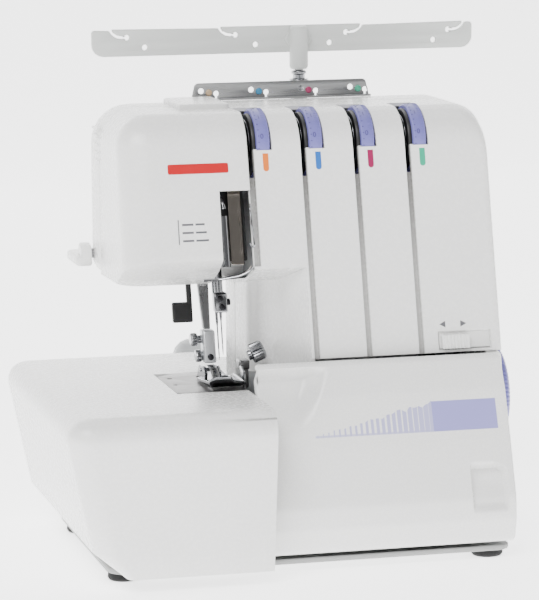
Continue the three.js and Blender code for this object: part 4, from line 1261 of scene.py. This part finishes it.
piece("foot_guide_rail", swept(rail, 0.9, 12), CHROME, "presser_group")

# %% [markdown]
# ## Needle plate, feed teeth and knives
# The steel plate lies in the bay of the box, flush with its top. It has a slot for the needles and two
# for the feed teeth. The upper knife moves beside it; its ribbed knob swings the knife out of the way.

# %% Plate, teeth, knives
plate_outline = arc_corners([(-33.7, -33, 4), (6.2, -33, 1), (6.2, 30, 1), (-24, 30, 1.5),
                             (-33.7, 21, 1.5)], 5)
pierced("steel_plate", plate_outline,
        [slot_hole(-4, 3.5, -6, 3), slot_hole(-12, -9.4, -10, 18, 1.0), slot_hole(-8, -5.4, -10, 18, 1.0),
         circle(-29, -6, 1.2), circle(-28, 14, 1.6)], 1.9, BRUSHED, "machine", "z",
         ("needle_plate",), 0.15,
        None, 94.05)
curve_mark = smooth_path([(-27, -29, 94.98), (-20, -29.5, 94.98), (-12, -28, 94.98), (-6, -23, 94.98)], 30)
piece("plate_engraved_line", swept(curve_mark, 0.35, 8, 0.15), DARK_STEEL, "machine")
teeth = [(-7, 86)]
for y in np.arange(-7, 13.6, 1.5):
    teeth += [(y, 93.2), (y + 1.1, 94.3)]
teeth += [(14, 93.2), (14, 86)]
for k, x0 in enumerate((-11.6, -7.6)):
    slab(f"feed_teeth_{k + 1}", teeth, [(x0, 0), (x0 + 1.8, 0)], CHROME_WORN, "feed_carrier", "x",
         ("feed_dog",) if k == 0 else ())
piece("feed_bar", rounded_box((-12.4, -7, 82.6), (-5, 14, 86.2), (0.5, 0.5, 0.5), None, 2), CASTING,
      "feed_carrier")
slab("fixed_knife", arc_corners([(-14, 82, 0.5), (-14, 94.6, 0.3), (-2, 94.6, 0.3), (-2, 82, 0.5)], 3),
     [(7.0, 0.2), (7.2, 0), (8.0, 0), (8.2, 0.2)], DARK_STEEL, "machine", "x", ("lower_knife",))
slab("moving_knife", arc_corners([(-14, 92, 0.4), (-12.5, 101.5, 1), (-5, 104, 2), (-1, 103, 1),
                                  (-1, 91.2, 0.5)], 4),
     [(8.7, 0.3), (8.9, 0), (9.8, 0), (10.0, 0.2)], CHROME, "knife_arm", "x", ("upper_knife",))
piece("knife_arm_block", rounded_box((8.6, -3, 101), (15, 5, 106.5), (1, 1, 1), None, 3), CHROME_WORN,
      "knife_arm")
piece("knife_post", rounded_box((12, 0, 90), (15, 5, 106), (0.8, 0.8, 0.8), None, 3), CHROME_WORN,
      "knife_arm")
KNOB_TILT = math.radians(22)


def knob_place(points):
    """Turns a knob along x up by 22 degrees and sets it on the knife arm."""
    x, y, z = points.T
    return np.stack([x * math.cos(KNOB_TILT) - z * math.sin(KNOB_TILT) + 0.6, y + 1.5,
                     x * math.sin(KNOB_TILT) + z * math.cos(KNOB_TILT) + 102.5], 1)


knob_line = rounded_profile([(0, 15.4), (3, 15.4), (3, 17.2), (5.3, 17.4), (5.6, 17.9), (5.6, 23.9),
                             (4.8, 25.0), (0, 25.0)], 0.35, 2)
piece("knife_release_knob", turned(knob_line, "x", (0, 0, 0), 160, 20, 0.11), CHROME, "knife_arm",
      ("knife_knob",), shape=knob_place)
looper_arm = smooth_path([(9.2, 10.5, 66), (9.4, 10.5, 76), (8.6, 10.4, 86), (7.6, 9.6, 92.5)], 30)
piece("upper_looper_hook", swept(looper_arm, np.linspace(1.3, 0.45, 30), 16, 1.0), CHROME,
      "upper_looper_arm", ("upper_looper",))
piece("upper_looper_root", rounded_box((8, 9, 62), (22, 12, 68), (0.8, 0.8, 0.8), None, 3), CHROME_WORN,
      "upper_looper_arm")
lower_arm = smooth_path([(5.4, 6.2, 60), (5.6, 6.2, 72), (3.4, 6.2, 78.4), (-2.4, 6.2, 79.4)], 30)
piece("lower_looper_hook", swept(lower_arm, np.linspace(1.4, 0.5, 30), 16, 1.0, (0, 1, 0)), CHROME,
      "lower_looper_arm", ("lower_looper",))
piece("lower_looper_root", rounded_box((4, 5, 54), (20, 7.6, 60), (0.7, 0.7, 0.7), None, 3), CHROME_WORN,
      "lower_looper_arm")

# %% [markdown]
# ## Inside the needle window
# A polished half-round guard stands in front of the needle bar and a flat mirror plate beside it. A bent
# wire leads the thread past the edge of the panel, and a bright lip runs along the bottom of the window.

# %% Guard, mirror plate, wire and lip
guard_angle = np.linspace(-0.05, np.pi + 0.05, 25)
guard_section = np.stack([-2.5 - 2.9 * np.cos(guard_angle), -36.8 - 2.6 * np.sin(guard_angle)], 1)
guard_grid = np.empty((14, 25, 3))
guard_grid[..., :2] = guard_section
guard_grid[..., 2] = np.linspace(163.0, 191.0, 14)[:, None]
piece("needle_guard", [leaning(guard_grid)], CHROME, "machine", ("needle_bar_guard",), wall=0.5,
      sharp=60)
slab("mirror_plate", arc_corners([(1.2, 163.5, 0.8), (8.6, 163.5, 0.8), (8.6, 204.6, 0.8),
                                  (1.2, 204.6, 0.8)], 4),
     rim(-34.8, -35.8, 0.3, 2), metal("warm_mirror_steel", (0.42, 0.38, 0.34), 0.16, (1, 1, 0.1), 300.0,
                                      0.1, 0.05),
     "machine", "y", shape=leaning)
# a black sheet behind the needle window: painted shade for the dark opening behind the bars
slab("window_shade_sheet", arc_corners([(-5.4, 165, 1), (11.4, 165, 1), (11.4, 206, 1), (-5.4, 206, 1)], 4),
     rim(-30.4, -31.0, 0.2, 1), BLACK, "machine", "y", shape=leaning)
lever = smooth_path([(-3.2, -29.2, 203), (-3.0, -33.5, 201), (-2.2, -35.6, 197.5), (-2.0, -36, 194.5)], 20)
piece("thread_lever", swept(leaning(lever + np.array([0, -2.5, 0])), np.linspace(0.9, 1.5, 20), 14, 0.7),
      CHROME, "machine")
wire = smooth_path([(10.8, -22.6, 198), (10.3, -25.2, 195), (10.9, -26.0, 189), (11.3, -30.0, 178.4),
                    (11.3, -30.6, 175.6), (10.4, -29.6, 175.0), (9.6, -28.0, 176.6)], 50)
piece("thread_wire", swept(wire, 0.5, 12), CHROME, "machine", ("wire_thread_guide",))
lip_path = smooth_path([(-16, -22.4, 156.2), (-8, -23.0, 156.4), (-2, -24.4, 157.4), (4, -25.6, 158.6),
                        (9, -26.4, 161.0), (11, -26.6, 163.6)], 40)
piece("window_lip", swept(lip_path, 1.5, 16, 0.55), CHROME, "machine")

# %% Threader and lifter
piece("threader_stem", rounded_box((-17, 4.6, 136), (-14, 7.2, 174.6), (0.6, 0.6, 0.6), None, 3), BLACK,
      "threader", ("needle_threader",), shape=leaning)
piece("threader_block", rounded_box((-25.6, 4.6, 127), (-14, 8, 138.2), (1.0, 1.0, 1.0), None, 4,
                                    (tuple(np.arange(-24, -16, 1.0)), (), ())), BLACK, "threader",
      shape=leaning)
slab("lifter_paddle", arc_corners([(-71, 64, 4), (-71, 98, 4.6), (-61.6, 98, 3.2), (-61.6, 64, 2)], 7),
     [(154.2, 1.3), (154.6, 0.5), (155.6, 0)] + rim(155.6, 159.8, 1.6, 5)[1:], WHITE, "lifter", "z",
     ("presser_lifter",))
slab("lifter_boss", arc_corners([(64, 156, 1), (65.4, 165.6, 3), (74.6, 167.6, 3), (78, 156, 1)], 6),
     [(-61.8, 0.6), (-62.2, 0.1), (-63, 0)] + rim(-63, -68, 1.2, 4)[1:], WHITE, "lifter", "x")
piece("lifter_axle", turned(rounded_profile([(0, -62.6), (2.9, -62.6), (2.9, -54.2), (0, -54.2)], 0.4, 2),
                            "x", (0, 70, 161), 32), CHROME_WORN, "lifter")

# %% [markdown]
# ## Thread guides above the body
# A folded steel strip on the top has one round eye and one keyhole per thread, with a coloured bead by each
# eye. Above it a telescopic mast carries a long bar; its curved slots let the thread slip in from above.

# %% Guide strip
EYE_FIRST, EYE_PITCH, KEYHOLE_SHIFT, BEAD_SHIFT = 6, 30, 9, 4.6
eyes = [circle(EYE_FIRST + EYE_PITCH * i, 252.6, 1.7) for i in range(4)]
keyholes = []
for i in range(4):
    angle = np.linspace(-np.pi / 2 + 0.38, 1.5 * np.pi - 0.38, 18)
    x = EYE_FIRST + KEYHOLE_SHIFT + EYE_PITCH * i
    ring = np.stack([x + 1.6 * np.cos(angle), 251.0 + 1.6 * np.sin(angle)], 1)
    keyholes.append(np.vstack([[(x - 0.6, 248.2)], [(x + 0.6, 248.2)], ring]))
strip_steel = metal("guide_strip_steel", (0.44, 0.445, 0.45), 0.3, (0.04, 1, 1), 700.0, 0.2, 0.12)
pierced("guide_strip", arc_corners([(0, 247.2), (2.4, 257.2, 2.4), (105.2, 257.2, 2.4), (107.6, 247.2)], 5),
        eyes + keyholes, 1.3, strip_steel, "machine", "y", ("thread_guide_plate",), 0.2, None, 74.7)
piece("guide_strip_foot", rounded_box((0, 69.8, 247.2), (107.6, 75.2, 248.4), (0.5, 0.5, 0.5), None, 2),
      strip_steel, "machine")
BEADS = (("beige", (0.55, 0.40, 0.25)), ("blue", (0.04, 0.22, 0.40)), ("crimson", (0.35, 0.04, 0.12)),
         ("green", (0.05, 0.40, 0.25)))
for i, (name, colour) in enumerate(BEADS):
    bead = rounded_profile([(0, 72.7), (1.5, 72.8), (1.9, 73.3), (1.9, 74.2), (0, 74.2)], 0.3, 3)
    piece(f"{name}_bead", turned(bead, "y", (EYE_FIRST + BEAD_SHIFT + EYE_PITCH * i, 0, 251.6), 32),
          plastic(f"{name}_bead_paint", colour, 0.3), "machine")

# %% Mast and bar
MAST_X, MAST_Y = 68.5, 88.0
BAR_LEFT, BAR_RIGHT, BAR_LOW, BAR_TOP = -55, 176, 272.6, 288.05
lower = rounded_profile([(0, 82.2), (6.4, 82.2), (6.4, 91), (5.0, 93.5), (4.9, 251.6), (5.6, 252.4),
                         (5.6, 256.6), (5.0, 257.2), (3.9, 257.2), (3.9, 250)], 0.4, 3)
piece("mast_lower", turned(lower, "z", (MAST_X, MAST_Y, 0), 40), CHROME, "machine",
      ("mast_lower_tube",))
middle = rounded_profile([(0, 154.4), (3.6, 154.4), (3.6, 259.6), (4.5, 260.2), (4.5, 261.4), (3.8, 262.0),
                          (2.7, 262.0), (2.7, 256)], 0.3, 3)
piece("mast_middle_tube_skin", turned(middle, "z", (MAST_X, MAST_Y, 0), 36), CHROME, "mast_middle",
      ("mast_middle_tube",))
BAR_PAINT = plastic("pale_bar_abs", (0.54, 0.555, 0.54), 0.4, 0.03)


def thread_notch(x, side):
    """Outline points of a slot that starts at the top edge and curls down to a round eye."""
    line = smooth_path([(x, 0, BAR_TOP), (x + side * 1.4, 0, 286.0), (x + side * 4.2, 0, 284.1),
                        (x + side * 8.4, 0, 283.5)], 14)[:, ::2]
    across = open_normals(line) * 0.75
    angle = np.linspace(math.radians(155), math.radians(-155), 14)
    eye = line[-1] + np.array([side * 1.4, 0]) + 1.7 * np.stack([side * np.cos(angle), np.sin(angle)], 1)
    upper, lower = line + across * -side, line + across * side
    walk = np.concatenate([lower, eye[::-1], upper[::-1]])
    return walk if side > 0 else walk[::-1]


bar_outline = np.concatenate([
    arc_corners([(BAR_RIGHT, 284), (BAR_RIGHT, BAR_LOW, 7), (BAR_LEFT, BAR_LOW, 7), (BAR_LEFT, 284)], 7,
                closed=False)[1:-1],
    arc_corners([(BAR_LEFT, 284), (BAR_LEFT, BAR_TOP, 2), (-50, BAR_TOP)], 5, closed=False)[1:-1],
    thread_notch(-44, 1), thread_notch(21, 1), thread_notch(108, -1), thread_notch(171, -1),
    arc_corners([(172.5, BAR_TOP), (BAR_RIGHT, BAR_TOP, 2), (BAR_RIGHT, 284)], 5, closed=False)[1:-1]])
bar_holes = [circle(x, 277.6, 1.7, 18) for x in (-23.5, 43, 88, 152)]
pierced("thread_bar", bar_outline, bar_holes, 2.9, BAR_PAINT, "mast_top", "y",
        ("thread_guide_bar",), 0.35, None, 91.5)
hub = rounded_profile([(0, 262.6), (4.4, 262.6), (5.5, 264.0), (5.5, 286.6), (4.4, 288.2), (0, 288.2)], 1.2,
                      5)
piece("bar_hub", turned(hub, "z", (MAST_X, MAST_Y, 0), 48), BAR_PAINT, "mast_top")
stem = rounded_profile([(0, 162.4), (2.5, 162.4), (2.5, 263), (0, 263)], 0.4, 2)
piece("bar_stem", turned(stem, "z", (MAST_X, MAST_Y, 0), 28), CHROME, "mast_top")
for side in (-1, 1):
    web = arc_corners([(MAST_X + side * 4.5, 274.5), (MAST_X + side * 8.6, 280.4, 2),
                       (MAST_X + side * 4.5, 286.4)], 4)
    slab(f"hub_web_{'left' if side < 0 else 'right'}", web[::side], rim(91.2, 88.6, 0.8, 4), BAR_PAINT,
         "mast_top", "y")

# %% [markdown]
# ## Spool stand
# Behind the machine a deck carries four cone holders on short pins; cones of thread stand there in use.

# %% Stand and cones
stand_outline = arc_corners([(7.4, 80.3, 1), (146, 80.3, 2), (146, 150, 13), (-4, 150, 13), (-4, 106.5, 4),
                             (7.4, 106.5, 2)], 7)
slab("spool_deck", stand_outline, [(76.0, 0.8), (76.4, 0.2), (77.0, 0.0)] + rim(77.0, 82.0, 1.8, 5)[1:],
     WHITE, "machine", "z", ("spool_stand",))
CONE_FIRST, CONE_PITCH, CONE_Y = 11, 37.0, 128
for i in range(4):
    x = CONE_FIRST + CONE_PITCH * i
    cone = rounded_profile([(0, 82.3), (11.9, 82.3), (11.9, 88.0), (10.3, 92.4), (7.5, 95.5), (4.2, 97.1),
                            (0, 97.5)],
                           0.8, 4)
    piece(f"cone_cap_{i + 1}", turned(cone, "z", (x, CONE_Y, 0), 96, 12, 0.05), PALE_GRAY, "machine",
          (f"cone_holder_{i + 1}",))
    ring = rounded_profile([(5.6, 82.0), (13.4, 82.0), (13.4, 82.5), (5.6, 82.6)], 0.2, 2)
    piece(f"cone_seat_{i + 1}", turned(np.vstack([ring, ring[:1]]), "z", (x, CONE_Y, 0), 48), WHITE_SATIN,
          "machine")

# %% [markdown]
# ## Handwheel and side controls
# The handwheel stands at the right end of the main shaft. Below it are the stitch-length and
# differential-feed wheels, the power switch and the mains socket; no cord is plugged in.

# %% Handwheel and controls
SHAFT_Y, SHAFT_Z, SIDE_Z = 2, 80, 34
wheel_line = rounded_profile([(0, 154.4), (24, 154.4), (28.9, 155.8), (28.9, 161.0), (26.4, 162.9),
                              (15, 162.9), (12.4, 161.0), (0, 161.0)], 0.8, 4)
piece("handwheel_rim", turned(wheel_line, "x", (0, SHAFT_Y, SHAFT_Z), 360, 72, 0.018), LAVENDER,
      "drive_line", ("handwheel",))
hub_cap = rounded_profile([(0, 160.8), (7.5, 160.8), (7.5, 162.2), (6.8, 162.9), (0, 162.9)], 0.4, 3)
piece("handwheel_cap", turned(hub_cap, "x", (0, SHAFT_Y, SHAFT_Z), 48), WHITE_SATIN, "drive_line")
for name, node, body, y in (("length", "stitch_length_dial", "length_dial", -24.0),
                            ("feed_ratio", "differential_dial", "feed_ratio_dial", 0.0)):
    dial = rounded_profile([(0, 146.2), (8.9, 146.2), (8.9, 156.2), (7.6, 157.9), (0, 157.9)], 0.5, 3)
    piece(f"{name}_wheel", turned(dial, "x", (0, y, SIDE_Z), 192, 32, 0.05), LAVENDER, body,
          (node,))
    mark = rounded_box((157.2, y - 0.5, 36.5), (158.0, y + 0.5, 41.2), (0.2, 0.2, 0.2), None, 2)
    piece(f"{name}_wheel_mark", mark, WHITE_INK, body)
    for k in range(5):
        angle = math.radians(50 + 20 * k)
        spot = np.array([153.55, y + 12.2 * math.cos(angle), SIDE_Z + 12.2 * math.sin(angle)])

        def beside(points, spot=spot):
            """Stands flat numerals on the side cover."""
            return np.stack([spot[0] + points[:, 2], spot[1] + points[:, 0], spot[2] + points[:, 1]], 1)

        numeral(f"{name}_number_{k}", str(5 - k), 3.4, INK, "machine", beside, 0.08)
rocker = rounded_box((150, 18.2, 24.2), (155.2, 29.8, 41.8), (0.5, 0.8, 0.8), None, 3, ((), (), (33.0,)))


def rocker_shape(points):
    """Presses the lower half of the rocker in by up to 1.4 mm."""
    out = points.copy()
    out[:, 0] -= np.where(points[:, 0] > 153, np.clip((33 - points[:, 2]) / 9, 0, 1) * 1.4, 0)
    return out


piece("rocker_switch", rocker, BLACK, "rocker", ("power_switch",), shape=rocker_shape)
pierced("switch_frame", slot_hole(16.0, 32.0, 21.9, 44.1, 1.5), [slot_hole(17.4, 30.6, 23.3, 42.7, 0.8)],
        0.9, BLACK, "machine", "x", (), 0.2, None, 153.7)
pierced("inlet_frame", slot_hole(56, 76, 30, 46, 2.0), [slot_hole(58.4, 73.6, 32.4, 43.6, 2.5)], 1.8, BLACK,
        "machine", "x", ("power_inlet",), 0.3, None, 154.1)
piece("inlet_well", [rounded_box((143.2, 57.6, 31.6), (154, 74.4, 44.4), (1.5, 1.5, 1.5), None, 2)[k]
                     for k in (0, 2, 3, 4, 5)], BLACK, "machine")
for k, y in enumerate((62.5, 69.5)):
    prong = rounded_profile([(0, 144), (1.1, 144), (1.1, 151.5), (0, 152)], 0.3, 2)
    piece(f"inlet_pin_{k + 1}", turned(prong, "x", (0, y, 38), 24), CHROME_WORN, "machine")
for k, (x, z) in enumerate(((30, 238), (142, 238), (142, 20), (30, 20), (-48, 160))):
    head = rounded_profile([(0, 79.4), (3.2, 79.4), (3.2, 79.9), (0, 80.0)], 0.15, 2)
    piece(f"back_screw_{k + 1}", turned(head, "y", (x, 0, z), 32), CHROME_WORN, "machine")

# %% [markdown]
# ## Working solids that stay
# The frame casting, shaft, pulleys, motor and belt keep their working shapes: they are inside the covers
# and show only through gaps. They still get their own finishes.

# %% Finishes of the inner parts
INNER = {"main_frame": CASTING, "main_shaft": CHROME_WORN, "drive_pulley": CASTING, "motor_pulley": CASTING,
         "motor": plastic("motor_enamel", (0.03, 0.03, 0.035), 0.45, 0.3, spread=0.2), "drive_belt": RUBBER,
         "cover_hinge_rod": CHROME_WORN}
for node, finish in INNER.items():
    target_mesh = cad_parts[node].data
    target_mesh.materials.clear()
    target_mesh.materials.append(finish)
print("inner parts finished:", ", ".join(INNER))
